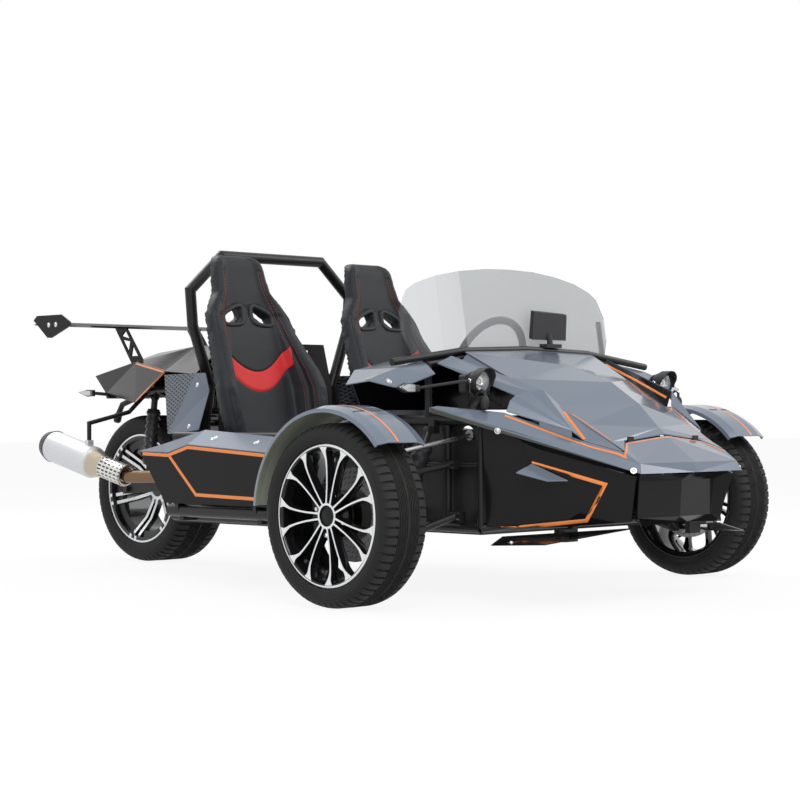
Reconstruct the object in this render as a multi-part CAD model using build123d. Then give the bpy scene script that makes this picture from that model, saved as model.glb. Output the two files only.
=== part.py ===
from build123d import *
import math
import os

os.makedirs("parts", exist_ok=True)

# ---------------------------------------------------------------------------
# Three wheeled roadster: two steered wheels in front, one driven wheel behind.
# Lengths are in mm, +Z is up, the nose points along -Y, +X is the car's left.
# Everything is drawn with y = 0 on the front axle and is moved to the middle
# of the car's length by save().
# ---------------------------------------------------------------------------

# driving dimensions
OVERALL_LENGTH = 2845.0
NOSE_Y = -625.0
TAIL_Y = NOSE_Y + OVERALL_LENGTH
FRONT_AXLE_Y = -(NOSE_Y + TAIL_Y) / 2
WHEELBASE = 1897.0
TRACK = 1613.0
WHEEL_X = TRACK / 2
FRONT_TYRE_R = 262.0
FRONT_TYRE_W = 170.0
REAR_TYRE_R = 274.0
REAR_TYRE_W = 215.0
BEAD_R = 190.5
FLANGE_R = 203.0
RIM_WALL = 7.0
SEAT_GAP = 0.3
SHEET_T = 3.0
SCREEN_T = 4.0

POST_R = 12.0
POST_YS = (-180.0, -45.0, 145.0)
BUSH_R = 14.0
REAR_RAIL_X = 330.0
REAR_RAIL_Z = 260.0
KINGPIN_X = 695.0
LOWER_BALL_Z = 165.0
UPPER_BALL_Z = 355.0
LOWER_PIVOT = (458.0, 105.0, 250.0)
UPPER_PIVOT = (458.0, 85.0, 400.0)
STEER_ARM = 95.0
SPINDLE_R = 18.0
AXLE_R = 12.0
DISC_X = -40.0
CALIPER_X0 = -60.0
FENDER_STAYS = (-78.0, 0.0, 40.0)
TIE_ROD_X = 685.0
TIE_ROD_Z = 425.0
RACK_Y = -110.0
RACK_Z = 485.0
RACK_END_X = 400.0

RAIL_R = 15.0
CROSS_R = 13.0
RAIL_X = 435.0
CABIN_RAIL_X = 545.0
RAIL_Z = 214.0
UPPER_RAIL_Z = 530.0
FRONT_BULKHEAD_Y = -180.0
DASH_Y = 300.0
CABIN_FRONT_Y = 500.0
CABIN_REAR_Y = 1110.0
HOOP_Y = CABIN_REAR_Y + 140
HOOP_R = 19.0
TAIL_MOUNT_X = 150.0
TAIL_STAY_X = 86.0
PIVOT_Y = WHEELBASE - 312
PIVOT_Z = 300.0
ARM_X = 145.0

SEAT_X = 306.0
STEER_WHEEL = (306.0, 480.0, 715.0)
STEER_WHEEL_R = 158.0
SHAFT_R = 10.0
COLUMN_SLOPE = 21.25

TUBE_Y = 34.0
TUBE_R = 11.0
TUBE_BEND_X = 294.0
TUBE_END = (586.0, 34.0, 700.0)
TUBE_MID_Z = 748.0
TUBE_BEND_Z = 738.0
CABIN_TOP_Z = 478.0
HOOP_TOP_Z = 1101.0
PIVOT_HALF = 185.0
ENGINE_SIDE = 185.0
PIVOT_R = 12.0
COIL_BASE = (600.0, 0.0, 221.0)
COIL_TOP = (470.0, 0.0, 500.0)
COIL_EYE_R = 12.0
LAMP = (435.0, -172.0, 643.0)
SILL_Z = 238.0
SILL_R = 20.0
FLOOR_TOP = RAIL_Z - RAIL_R - SEAT_GAP

WING_Y = TAIL_Y - 320
WING_Z = 875.0
WING_HALF_SPAN = 530.0
CAN_REAR = (-360.0, WHEELBASE + 208, 440.0)
CAN_LENGTH = 285.0
CAN_R = 58.0
CAN_TILT = 13.0
HANGER_Y = WHEELBASE - 40
HANGER_Z = 458.0


# ---------------------------------------------------------------------------
# helpers
# ---------------------------------------------------------------------------
def mirror_x(point):
    return (-point[0], point[1], point[2])


def both(solid):
    """The solid and its mirror image on the other side of the car."""
    return [solid, solid.mirror(Plane.YZ)]


def fuse(solids):
    """Joins solids one after another."""
    whole = solids[0]
    for solid in solids[1:]:
        whole = whole.fuse(solid)
    return whole


def bar(start, end, radius):
    """A straight round bar between two points."""
    a, b = Vector(*start), Vector(*end)
    plane = Plane(origin=a, z_dir=b - a)
    return Solid.make_cylinder(radius, (b - a).length, plane)


def tube_run(points, radius):
    """A round tube through the points, mitred at each bend."""
    path = Wire.make_polygon([Vector(*p) for p in points], close=False)
    start = Plane(origin=points[0], z_dir=Vector(*points[1]) - Vector(*points[0]))
    section = Wire.make_circle(radius, start)
    return Solid.sweep(section, path=path, transition=Transition.RIGHT)


def block(low, high):
    """A box between two corners."""
    size = [h - l for l, h in zip(low, high)]
    return Solid.make_box(*size, Plane(origin=low))


def polygon(points):
    return Face(Wire.make_polygon([Vector(*p) for p in points], close=True))


def prism(points, shift):
    """A flat polygon pushed along a vector."""
    return Solid.extrude(polygon(points), Vector(*shift))


def moved(point, shift):
    return tuple(p + s for p, s in zip(point, shift))


def wall(a, b, c, d):
    """A four-sided face, folded along a diagonal where its corners aren't in one plane."""
    u, v, w = (Vector(*q) - Vector(*a) for q in (b, c, d))
    if abs(u.cross(v).dot(w)) < 1e-6:
        return [polygon([a, b, c, d])]
    return [polygon([a, b, c]), polygon([a, c, d])]


def shell_between(outer, inner, facets):
    """A folded panel: facets over named outer points, closed by the same inner points."""
    faces = []
    edges = {}
    for facet in facets:
        faces.append(polygon([outer[name] for name in facet]))
        faces.append(polygon([inner[name] for name in facet]))
        for a, b in zip(facet, facet[1:] + facet[:1]):
            key = frozenset((a, b))
            edges[key] = edges.get(key, []) + [(a, b)]
    for uses in edges.values():
        if len(uses) == 1:
            a, b = uses[0]
            faces += wall(outer[a], outer[b], inner[b], inner[a])
    return Solid(Shell(faces))


def sheet(points, facets, shift):
    """A folded panel over named points, as thick as the shift vector."""
    return shell_between(points, {name: moved(p, shift) for name, p in points.items()}, facets)


def two_sided(points, facets):
    """Adds the mirror image of a half panel; points on x = 0 are shared."""
    all_points = dict(points)
    names = {}
    for name, p in points.items():
        names[name] = name if p[0] == 0 else name + "_m"
        all_points[names[name]] = mirror_x(p)
    flipped = [tuple(names[n] for n in reversed(f)) for f in facets]
    return all_points, list(facets) + flipped


def ring(profile, centre):
    """A profile of (radius, x) corners turned about the X axis at a centre."""
    face = Face(Wire.make_polygon([Vector(x, 0, r) for r, x in profile], close=True))
    solid = Solid.revolve(face, 360, Axis.X)
    return solid.moved(Location(centre))


def turned(profile, start, end):
    """A profile of (radius, distance from start) corners turned about a line."""
    a, b = Vector(*start), Vector(*end)
    face = Face(Wire.make_polygon([Vector(r, 0, z) for r, z in profile], close=True))
    solid = Solid.revolve(face, 360, Axis.Z)
    return solid.moved(Plane(origin=a, z_dir=b - a).location)


def save(name, solids):
    shape = Compound(children=[s for s in solids]) if len(solids) > 1 else solids[0]
    shape = shape.moved(Location((0, FRONT_AXLE_Y, 0)))
    export_step(shape, "parts/" + name + ".step")


BELOW = ((0, 0, -SHEET_T - SEAT_GAP), (0, 0, 900.0))
ABOVE = ((0, 0, SEAT_GAP), (0, 0, -900.0))


def trimmed(solid, points, facets, step, away):
    """A piece cut off where it meets a folded panel, SEAT_GAP short of it."""
    blanket = {n: moved(p, step) for n, p in points.items()}
    return solid.cut(sheet(blanket, facets, away))


# ---------------------------------------------------------------------------
# nose panels: corner points of the right-hand half are mirrored
# ---------------------------------------------------------------------------
HOOD = {
    "rear_mid": (0, 17, 745), "rear": (294, 17, 736),
    "mid1": (0, -150, 693), "edge1": (272, -150, 652),
    "mid2": (0, -310, 641), "edge2": (250, -310, 571),
    "mid3": (0, -413, 577), "edge3": (240, -413, 515),
    "mid4": (0, -490, 505), "edge4": (230, -500, 466),
    "front_mid": (0, -512, 487), "inner": (175, -503, 469), "outer": (230, -550, 440),
}
HOOD_FACETS = [
    ("rear_mid", "mid1", "rear"), ("mid1", "edge1", "rear"),
    ("mid1", "mid2", "edge1"), ("mid2", "edge2", "edge1"),
    ("mid2", "mid3", "edge2"), ("mid3", "edge3", "edge2"),
    ("mid3", "mid4", "edge3"), ("mid4", "edge4", "edge3"),
    ("mid4", "front_mid", "inner"), ("mid4", "inner", "edge4"), ("inner", "outer", "edge4"),
]
NOSE = {
    "lip_mid": (0, -622, 405), "lip": (225, -603, 405),
    "front_mid": (0, -517, 481), "inner": (175, -508, 463), "outer": (234, -554, 435),
    "joint": (272, -439, 466), "base_rear": (402, -242, 551), "tip_in": (528, -96, 571),
    "tip": (552, -90, 567), "edge1": (300, -500, 421), "edge2": (420, -309, 496),
}
NOSE_FACETS = [
    ("lip_mid", "lip", "front_mid"), ("lip", "inner", "front_mid"), ("lip", "outer", "inner"),
    ("lip", "edge1", "outer"), ("edge1", "joint", "outer"), ("edge1", "edge2", "joint"),
    ("edge2", "base_rear", "joint"), ("edge2", "tip", "base_rear"), ("tip", "tip_in", "base_rear"),
]
LIP = {
    "mid_top": (0, -622.5, 404.5), "lip_top": (225.5, -603.5, 404.5), "tip_top": (552.5, -90.5, 566.5),
    "mid_low": (0, -625, 376), "lip_low": (238, -615, 376), "tip_low": (552, -90, 553),
}
FAIRING = {
    "cowl_in": (360, 10, 722), "cowl_out": (425, 5, 700),
    "crest": (300, -303, 616), "round": (329, -273, 613), "corner": (355, -246, 602),
    "side": (378, -244, 586), "base_rear": (396, -246, 556), "nose": (300, -416, 498),
    "fold": (262, -330, 574),
}
FAIRING_FACETS = [
    ("cowl_in", "crest", "round"), ("cowl_in", "round", "cowl_out"), ("round", "corner", "cowl_out"),
    ("crest", "fold", "nose"), ("crest", "nose", "round"), ("round", "nose", "corner"),
    ("nose", "side", "corner"), ("nose", "base_rear", "side"),
]


COWL = {
    "front_mid": (0, 50, 744), "rear_mid": (0, 250, 738), "in_front": (294, 50, 733),
    "in_rear": (330, 240, 724), "bend": (452, 50, 709), "top": (573, 24, 684),
    "top_rear": (590, 190, 680), "tip": (700, 10, 646), "tip_rear": (690, 120, 636),
    "corner": (606, -18, 624), "low_in": (452, -12, 668), "up_in": (452, 24, 697),
}
COWL_FACETS = [
    ("front_mid", "in_front", "in_rear"), ("front_mid", "in_rear", "rear_mid"),
    ("in_front", "bend", "top_rear"), ("in_front", "top_rear", "in_rear"),
    ("bend", "up_in", "top"), ("bend", "top", "top_rear"), ("top", "tip", "tip_rear"),
    ("top", "tip_rear", "top_rear"), ("up_in", "low_in", "top"), ("low_in", "corner", "top"),
    ("top", "corner", "tip"),
]


def nose_panels():
    points, facets = two_sided(HOOD, HOOD_FACETS)
    save("hood", [sheet(points, facets, (0, 0, -SHEET_T))])
    cover = sheet(*two_sided(NOSE, NOSE_FACETS), (0, 0, -SHEET_T))
    lip = [("mid_top", "mid_low", "lip_top"), ("mid_low", "lip_low", "lip_top"),
           ("lip_top", "lip_low", "tip_top"), ("lip_low", "tip_low", "tip_top")]
    save("nose_cover", [cover.fuse(sheet(*two_sided(LIP, lip), (0, SHEET_T + 1, 0)))])
    skirt = {"top": (301, -413, 499), "top_rear": (347.5, -330, 527), "low_rear": (347.5, -330, 490),
             "low": (301, -413, 460)}
    skirt = sheet(skirt, [("top", "top_rear", "low_rear"), ("top", "low_rear", "low")], (-2.6, 1.5, 0))
    skirt = trimmed(skirt, *two_sided(NOSE, NOSE_FACETS), *ABOVE)
    fairing = [sheet(FAIRING, FAIRING_FACETS, (0, 0, -SHEET_T)), skirt]
    save("hood_fairings", both(fuse(fairing)))
    under = -SHEET_T - SEAT_GAP
    vent = {
        "rear_in": (289, 12, 733 + under), "rear_out": (359, 9, 721 + under), "rear_low": (325, 10, 700),
        "mid_in": (268, -150, 652 + under), "mid_out": (331, -150, 666.8 + under),
        "mid_low": (305, -150, 628),
        "front_in": (246, -305, 573 + under), "front_out": (299, -301, 616 + under),
        "front_low": (272, -305, 562),
    }
    vent_facets = [
        ("rear_in", "mid_in", "rear_low"), ("mid_in", "mid_low", "rear_low"),
        ("rear_low", "mid_low", "rear_out"), ("mid_low", "mid_out", "rear_out"),
        ("mid_in", "front_in", "mid_low"), ("front_in", "front_low", "mid_low"),
        ("mid_low", "front_low", "mid_out"), ("front_low", "front_out", "mid_out"),
    ]
    save("hood_vents", both(sheet(vent, vent_facets, (0, 0, -SHEET_T))))


CENTRE = {
    "top_mid": (0, -606, 372), "top": (215, -590, 372), "in_top_mid": (0, -574, 352),
    "in_top": (178, -556, 352), "in_low_mid": (0, -566, 246), "in_low": (170, -550, 246),
    "lip_mid": (0, -592, 232), "lip": (187, -575, 225), "post_low": (196, -566, 240),
}
CENTRE_FACETS = [
    ("top_mid", "in_top_mid", "top"), ("in_top_mid", "in_top", "top"),
    ("in_top_mid", "in_low_mid", "in_top"), ("in_low_mid", "in_low", "in_top"),
    ("in_low_mid", "lip_mid", "in_low"), ("lip_mid", "lip", "in_low"),
    ("in_top", "in_low", "post_low"), ("in_top", "post_low", "top"), ("in_low", "lip", "post_low"),
]
CANARD = {
    "root_front": (205, -556, 220), "root_rear": (420, -250, 194),
    "tip": (465, -454, 182), "rear": (500, -280, 175),
}
CANARD_FACETS = [("root_front", "tip", "root_rear"), ("tip", "rear", "root_rear")]


NOSE_SIDE = {
    "top_front": (222, -585, 368), "low_front": (200, -548, 238), "low_mid": (330, -380, 222),
    "top_mid": (378, -350, 448), "low_rear": (436, -202, 222), "top_rear": (452, -202, 520),
    "band_top": (398, -310, 467.5), "inner_rear": (382.3, -332.6, 401.3), "inner_fold": (367, -357, 395),
    "inner_front": (269.3, -503, 341.1), "inner_bend": (276, -482.5, 295),
    "inner_low": (285.2, -448.5, 249.1), "low_fold": (334, -377.5, 240), "low_end": (413, -240, 222),
}
NOSE_SIDE_FACETS = [
    ("top_front", "low_front", "low_mid"), ("top_front", "low_mid", "top_mid"),
    ("top_mid", "low_mid", "low_rear"), ("top_mid", "low_rear", "top_rear"),
]
BAND_FACETS = [
    ("top_front", "inner_front", "top_mid"), ("inner_front", "inner_fold", "top_mid"),
    ("inner_fold", "inner_rear", "top_mid"), ("inner_rear", "band_top", "top_mid"),
    ("top_front", "inner_bend", "inner_front"), ("top_front", "low_front", "inner_bend"),
    ("low_front", "inner_low", "inner_bend"), ("low_front", "low_mid", "inner_low"),
    ("low_mid", "low_fold", "inner_low"), ("low_mid", "low_end", "low_fold"),
]
BAND_OUT = (6.6, -4.3, -1.1)


def raised_band():
    """The thicker edge of the nose side panel, in front of and around its flat field."""
    outer = {name: moved(p, BAND_OUT) for name, p in NOSE_SIDE.items()}
    inner = {name: moved(p, (-1.2, 0.8, 0.2)) for name, p in NOSE_SIDE.items()}
    return shell_between(outer, inner, BAND_FACETS)


def bumper():
    """Black lower nose: an upright centre panel, a chin lip and side blades."""
    panel = sheet(*two_sided(CENTRE, CENTRE_FACETS), (0, 2 * SHEET_T, 0))
    sides = both(sheet(NOSE_SIDE, NOSE_SIDE_FACETS, (-SHEET_T, 0, 0)).fuse(raised_band()))
    blade = sheet(CANARD, CANARD_FACETS, (0, 0, -SHEET_T))
    save("lower_nose", [panel] + sides + both(blade))
    wing = {
        "root_rear": (389.9, -337.5, 404.2), "root_front": (331.9, -422.5, 357.4),
        "low": (385, -392, 357), "tip": (448, -331, 381),
    }
    wing = sheet(wing, [("root_rear", "root_front", "low"), ("root_rear", "low", "tip")], (0, 0, -SHEET_T))
    save("nose_blades", both(wing))


# ---------------------------------------------------------------------------
# frame
# ---------------------------------------------------------------------------
def mirrored(solids):
    return solids + [p.mirror(Plane.YZ) for p in solids]


def ear(pivot, side):
    """Bracket that carries a wishbone bush on the frame's outer face."""
    x, y, z = pivot
    return block((RAIL_X, side * y - 12, z - 12), (x - BUSH_R - SEAT_GAP, side * y + 12, z + 12))


def hoop_z(x):
    """Height of the dash hoop, which lies just under the screen tube."""
    if x > TUBE_BEND_X:
        part = (x - TUBE_BEND_X) / (TUBE_END[0] - TUBE_BEND_X)
        tube_z = TUBE_BEND_Z + part * (TUBE_END[2] - TUBE_BEND_Z)
    else:
        tube_z = TUBE_MID_Z + x / TUBE_BEND_X * (TUBE_BEND_Z - TUBE_MID_Z)
    return tube_z - 2 * TUBE_R - 1.0


def frame():
    nose_y = NOSE_Y + 110
    side = [
        (RAIL_X, FRONT_BULKHEAD_Y, RAIL_Z), (RAIL_X, DASH_Y, RAIL_Z),
        (CABIN_RAIL_X, CABIN_FRONT_Y, RAIL_Z), (CABIN_RAIL_X, CABIN_REAR_Y, RAIL_Z),
        (REAR_RAIL_X, HOOP_Y, REAR_RAIL_Z),
    ]
    half = [
        tube_run(side, RAIL_R),
        bar((RAIL_X, FRONT_BULKHEAD_Y, RAIL_Z), (180, nose_y, RAIL_Z + 60), 12),
        bar((RAIL_X, FRONT_BULKHEAD_Y, UPPER_PIVOT[2]), (RAIL_X, POST_YS[2], UPPER_PIVOT[2]), 8),
    ]
    top = UPPER_RAIL_Z - RAIL_R - SEAT_GAP
    half += [bar((RAIL_X, y, RAIL_Z), (RAIL_X, y, top), POST_R) for y in POST_YS]
    half += [ear(pivot, s) for pivot in (LOWER_PIVOT, UPPER_PIVOT) for s in (-1, 1)]
    half += [block((RAIL_X, s * LOWER_PIVOT[1] - 12, RAIL_Z),
                   (RAIL_X + 6, s * LOWER_PIVOT[1] + 12, LOWER_PIVOT[2])) for s in (-1, 1)]
    post = block((140, nose_y - 8, RAIL_Z + 55), (165, nose_y + 10, 480))
    half.append(trimmed(post, *two_sided(NOSE, NOSE_FACETS), *BELOW))
    half.append(bar((REAR_RAIL_X, HOOP_Y, REAR_RAIL_Z - 5), (PIVOT_HALF, PIVOT_Y, PIVOT_Z), 13))
    hanger = block((262, -400, 178), (345, -382, 216))
    half.append(trimmed(hanger, CANARD, CANARD_FACETS, *ABOVE))
    half.append(block((262, -400, 190), (285, -382, 250)))
    nose_bracket = block((140, nose_y - 70, RAIL_Z + 48), (165, nose_y + 6, RAIL_Z + 66))
    step = (0, 2 * SHEET_T + SEAT_GAP, 0)
    half.append(trimmed(nose_bracket, *two_sided(CENTRE, CENTRE_FACETS), step, (0, -900, 0)))
    for part in (0.24, 0.73):
        y = HOOP_Y + part * (PIVOT_Y - HOOP_Y)
        x = REAR_RAIL_X + part * (PIVOT_HALF - REAR_RAIL_X)
        z = REAR_RAIL_Z - 5 + part * (PIVOT_Z - REAR_RAIL_Z + 5)
        half.append(block((ENGINE_SIDE + SEAT_GAP, y - 14, z - 8), (x, y + 14, z + 8)))
    cross = [
        (180, nose_y, RAIL_Z + 60, 12), (RAIL_X, FRONT_BULKHEAD_Y, RAIL_Z, CROSS_R),
        (RAIL_X, DASH_Y, RAIL_Z, CROSS_R), (CABIN_RAIL_X, CABIN_REAR_Y, RAIL_Z, CROSS_R),
        (REAR_RAIL_X, HOOP_Y, REAR_RAIL_Z, CROSS_R), (PIVOT_HALF, PIVOT_Y, PIVOT_Z, PIVOT_R),
    ]
    middle = [bar((-x, y, z), (x, y, z), r) for x, y, z, r in cross]
    save("lower_frame", [fuse(mirrored(half) + middle)])
    upper = [
        tube_run([(RAIL_X, FRONT_BULKHEAD_Y, UPPER_RAIL_Z), (RAIL_X, DASH_Y, UPPER_RAIL_Z),
                  (CABIN_RAIL_X, CABIN_FRONT_Y, CABIN_TOP_Z), (CABIN_RAIL_X, CABIN_REAR_Y, CABIN_TOP_Z)],
                 RAIL_R),
        block((RAIL_X, -12, UPPER_RAIL_Z - 40), (COIL_TOP[0] - COIL_EYE_R - SEAT_GAP, 12, UPPER_RAIL_Z)),
        bar((CABIN_RAIL_X, CABIN_REAR_Y - 150, RAIL_Z + RAIL_R + SEAT_GAP),
            (CABIN_RAIL_X, CABIN_REAR_Y - 150, CABIN_TOP_Z), POST_R),
        block((RAIL_X, FRONT_BULKHEAD_Y - 8, UPPER_RAIL_Z - 8),
              (478, FRONT_BULKHEAD_Y + 8, UPPER_RAIL_Z + 8)),
        block((150, TUBE_Y, hoop_z(150) - 8), (180, TUBE_Y + 18, hoop_z(150) + 5)),
    ]
    bracket = block((466, FRONT_BULKHEAD_Y - 8, UPPER_RAIL_Z), (478, FRONT_BULKHEAD_Y + 8, 640))
    upper.append(trimmed(bracket, *two_sided(NOSE, NOSE_FACETS), *BELOW))
    tab = block((150, TUBE_Y + 17, hoop_z(150) - 8), (180, TUBE_Y + 60, 780))
    upper.append(trimmed(tab, *two_sided(COWL, COWL_FACETS), *BELOW))
    tab = block((-60, -30, hoop_z(0) - 8), (60, 16, 780))
    cross = [
        trimmed(tab, *two_sided(HOOD, HOOD_FACETS), *BELOW),
        block((-60, 0, hoop_z(0) - 8), (60, TUBE_Y, hoop_z(0) + 4)),
        bar((-RAIL_X, FRONT_BULKHEAD_Y, UPPER_RAIL_Z), (RAIL_X, FRONT_BULKHEAD_Y, UPPER_RAIL_Z), CROSS_R),
        bar((-CABIN_RAIL_X, CABIN_REAR_Y, CABIN_TOP_Z), (CABIN_RAIL_X, CABIN_REAR_Y, CABIN_TOP_Z), CROSS_R),
    ]
    hoop = [(RAIL_X, TUBE_Y, UPPER_RAIL_Z)]
    hoop += [(x, TUBE_Y, hoop_z(x)) for x in (RAIL_X, TUBE_BEND_X, 0)]
    cross.append(tube_run(hoop + [mirror_x(p) for p in reversed(hoop[:-1])], TUBE_R))
    save("upper_frame", [fuse(mirrored(upper) + cross)])
    rail_top = REAR_RAIL_Z + RAIL_R + SEAT_GAP
    half = [
        (REAR_RAIL_X, HOOP_Y, rail_top), (REAR_RAIL_X, HOOP_Y, 400), (285, HOOP_Y, 652),
        (360, HOOP_Y, 854), (370, HOOP_Y, 977), (231, HOOP_Y, HOOP_TOP_Z),
    ]
    cabin_tie_y = CABIN_REAR_Y + RAIL_R + SEAT_GAP
    stay_front = (TAIL_MOUNT_X, HOOP_Y + 250, 560)
    stay_top = (TAIL_MOUNT_X, WHEELBASE - 177, 640)
    stay_end = (TAIL_STAY_X, TAIL_Y - 170, 625)
    legs = [
        tube_run([(308, HOOP_Y, 520), stay_front, stay_top], 12),
        tube_run([(285, HOOP_Y, 645), stay_top, stay_end], 12),
        block((340, cabin_tie_y, CABIN_TOP_Z - 10), (360, HOOP_Y, CABIN_TOP_Z + 10)),
        block((310, HOOP_Y - 14, CABIN_TOP_Z - 10), (360, HOOP_Y + 4, CABIN_TOP_Z + 22)),
        block((188, HOOP_Y - HOOP_R, 510), (212, HOOP_Y, 530)),
    ]
    against_side = ((-SHEET_T - SEAT_GAP, 0, 0), (900, 0, 0))
    low_tab = block((340, HOOP_Y - 14, CABIN_TOP_Z + 10), (480, HOOP_Y + 4, CABIN_TOP_Z + 22))
    legs.append(trimmed(low_tab, QUARTER, QUARTER_FACETS, *against_side))
    top_tab = block((299, HOOP_Y - 8, 668), (420, HOOP_Y + 8, 678))
    legs.append(trimmed(top_tab, GRILLE, GRILLE_FACETS, *against_side))
    roof = two_sided(TAIL_INNER, TAIL_FACETS)
    for x, y, z in (stay_front, stay_end):
        upright = block((x - 8, y - 8, z), (x + 8, y + 8, 900))
        legs.append(trimmed(upright, *roof, (0, 0, -SEAT_GAP), (0, 0, 900)))
    hanger = Vector(*stay_top) * 0.76 + Vector(*stay_end) * 0.24
    cross = [
        tube_run(half + [mirror_x(p) for p in reversed(half)], HOOP_R),
        bar(mirror_x(stay_front), stay_front, 12),
        bar(mirror_x(stay_end), stay_end, 12),
        bar((-308, HOOP_Y, 520), (308, HOOP_Y, 520), 12),
        tube_run([mirror_x(tuple(hanger)), (-200, HANGER_Y - 27, 560), (CAN_REAR[0], HANGER_Y, 520),
                  (CAN_REAR[0], HANGER_Y, HANGER_Z + SEAT_GAP)], 8),
    ]
    save("roll_hoop", [fuse(mirrored(legs) + cross)])


# ---------------------------------------------------------------------------
# floor and tub
# ---------------------------------------------------------------------------
def tub():
    t = SHEET_T
    z0 = RAIL_Z - RAIL_R - SEAT_GAP - t
    outline = [
        (RAIL_X, FRONT_BULKHEAD_Y), (RAIL_X, DASH_Y), (CABIN_RAIL_X, CABIN_FRONT_Y),
        (CABIN_RAIL_X, CABIN_REAR_Y), (REAR_RAIL_X, HOOP_Y),
    ]
    outline += [(-x, y) for x, y in reversed(outline)]
    pan = prism([(x, y, z0) for x, y in outline], (0, 0, t))
    save("floor_pan", [pan] + seat_beams())
    inset = RAIL_R + SEAT_GAP + t
    top = UPPER_RAIL_Z + 12
    front = FRONT_BULKHEAD_Y + RAIL_R + SEAT_GAP
    front_x = RAIL_X - inset
    cabin_x = CABIN_RAIL_X - inset
    side = [
        ((front_x, front), (front_x, DASH_Y + 5), top),
        ((front_x, DASH_Y + 5), (cabin_x, CABIN_FRONT_Y + 5), top - 50),
        ((cabin_x, CABIN_FRONT_Y + 5), (cabin_x, CABIN_REAR_Y - 20), CABIN_TOP_Z + 12),
    ]
    low = RAIL_Z - 10
    plates = []
    for (x0, y0), (x1, y1), z in side:
        plates.append(prism([(x0, y0, low), (x1, y1, low), (x1, y1, z), (x0, y0, z)], (-t, 0, 0)))
    plate = fuse(plates)
    plate = plate.cut(bar((RAIL_X - 60, RACK_Y, RACK_Z), (RAIL_X, RACK_Y, RACK_Z), 28))
    plate = plate.cut(bar((RAIL_X - 60, DASH_Y, RAIL_Z), (RAIL_X, DASH_Y, RAIL_Z), CROSS_R + SEAT_GAP))
    wide = front_x - 1
    panel = block((-wide, front, low), (wide, front + t, top))
    save("tub_panels", [fuse(both(plate) + [panel])])


# ---------------------------------------------------------------------------
# wheels
# ---------------------------------------------------------------------------
PROFILE_R = 262.0  # tread radius the tyre profile's numbers stand for


def tyre(radius, width, centre):
    h = width / 2
    bead = BEAD_R + SEAT_GAP
    rise = radius - PROFILE_R
    half = [
        (bead, h - 15), (FLANGE_R + 2, h - 15), (FLANGE_R + 3, h - 9), (228 + rise / 2, h),
        (246 + rise, h - 4), (257 + rise, h - 17), (radius, h - 42),
    ]
    inner = [
        (radius - 12, h - 42), (244 + rise, h - 17), (228 + rise / 2, h - 11), (FLANGE_R + 2, h - 22),
        (bead, h - 28),
    ]
    left = half + [(radius, 0)] + [(radius - 12, 0)] + inner
    right = [(r, -x) for r, x in left]
    return ring(left, centre).fuse(ring(right, centre))


def spoke(outline, dish, turn, centre):
    """One spoke: its outline in the wheel plane, given depth by the dish."""
    flat = prism([(-80, a, b) for a, b in outline], (160, 0, 0)).intersect(dish)
    flat = flat[0] if isinstance(flat, (list, ShapeList)) else flat
    return flat.rotate(Axis.X, turn).moved(Location(centre))


def rim(width, dish_profile, spoke_outlines, count, turn, centre, side, pad):
    """Barrel, hub pad and spokes; side is +1 when the face looks to +X."""
    h = width / 2 - 15
    lip = h + 4
    barrel = [
        (FLANGE_R, lip), (FLANGE_R, h + SEAT_GAP), (BEAD_R, h + SEAT_GAP), (BEAD_R, h - 18),
        (168, h - 26), (168, -h + 26), (BEAD_R, -h + 18), (BEAD_R, -h - SEAT_GAP),
        (FLANGE_R, -h - SEAT_GAP), (FLANGE_R, -lip), (BEAD_R - RIM_WALL, -lip),
        (BEAD_R - RIM_WALL, -h + 20), (168 - RIM_WALL, -h + 28), (168 - RIM_WALL, h - 28),
        (BEAD_R - RIM_WALL, h - 20), (BEAD_R - RIM_WALL, lip),
    ]
    origin = (0, 0, 0)
    dish = ring([(r, side * x) for r, x in dish_profile], origin)
    parts = [ring([(r, x) for r, x in barrel], origin), ring([(r, side * x) for r, x in pad], origin)]
    for i in range(count):
        for outline in spoke_outlines:
            parts.append(spoke(outline, dish, turn + i * 360.0 / count, origin))
    return fuse(parts).moved(Location(centre))


def disc(centre, side, bore, ring_x):
    """Hub with brake disc; its outer face at x = 0 carries the rim."""
    profile = [
        (bore, ring_x - 8), (bore + 12, ring_x - 8), (bore + 12, -12), (64, -12), (64, ring_x),
        (135, ring_x), (135, ring_x + 8), (72, ring_x + 8), (72, 0), (bore, 0),
    ]
    return ring([(r, side * x) for r, x in profile], centre)


FRONT_DISH = [(30, 6), (62, 8), (186, 46), (186, 60), (62, 32), (30, 30)]
FRONT_SPOKES = [[(s * 3, 38), (s * 20.8, 160), (s * 36, 186), (s * 60, 180), (s * 30.4, 156), (s * 13, 38)]
                for s in (-1, 1)]
REAR_DISH = [(30, -8), (62, -4), (120, 12), (186, 60), (186, 84), (120, 36), (62, 20), (30, 18)]
REAR_SPOKES = [[(s * 5, 40), (s * 17, 40), (s * 24, 190), (s * 7, 190)] for s in (-1, 1)]
FRONT_TURN = 10.0
REAR_TURN = 15.8


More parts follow.
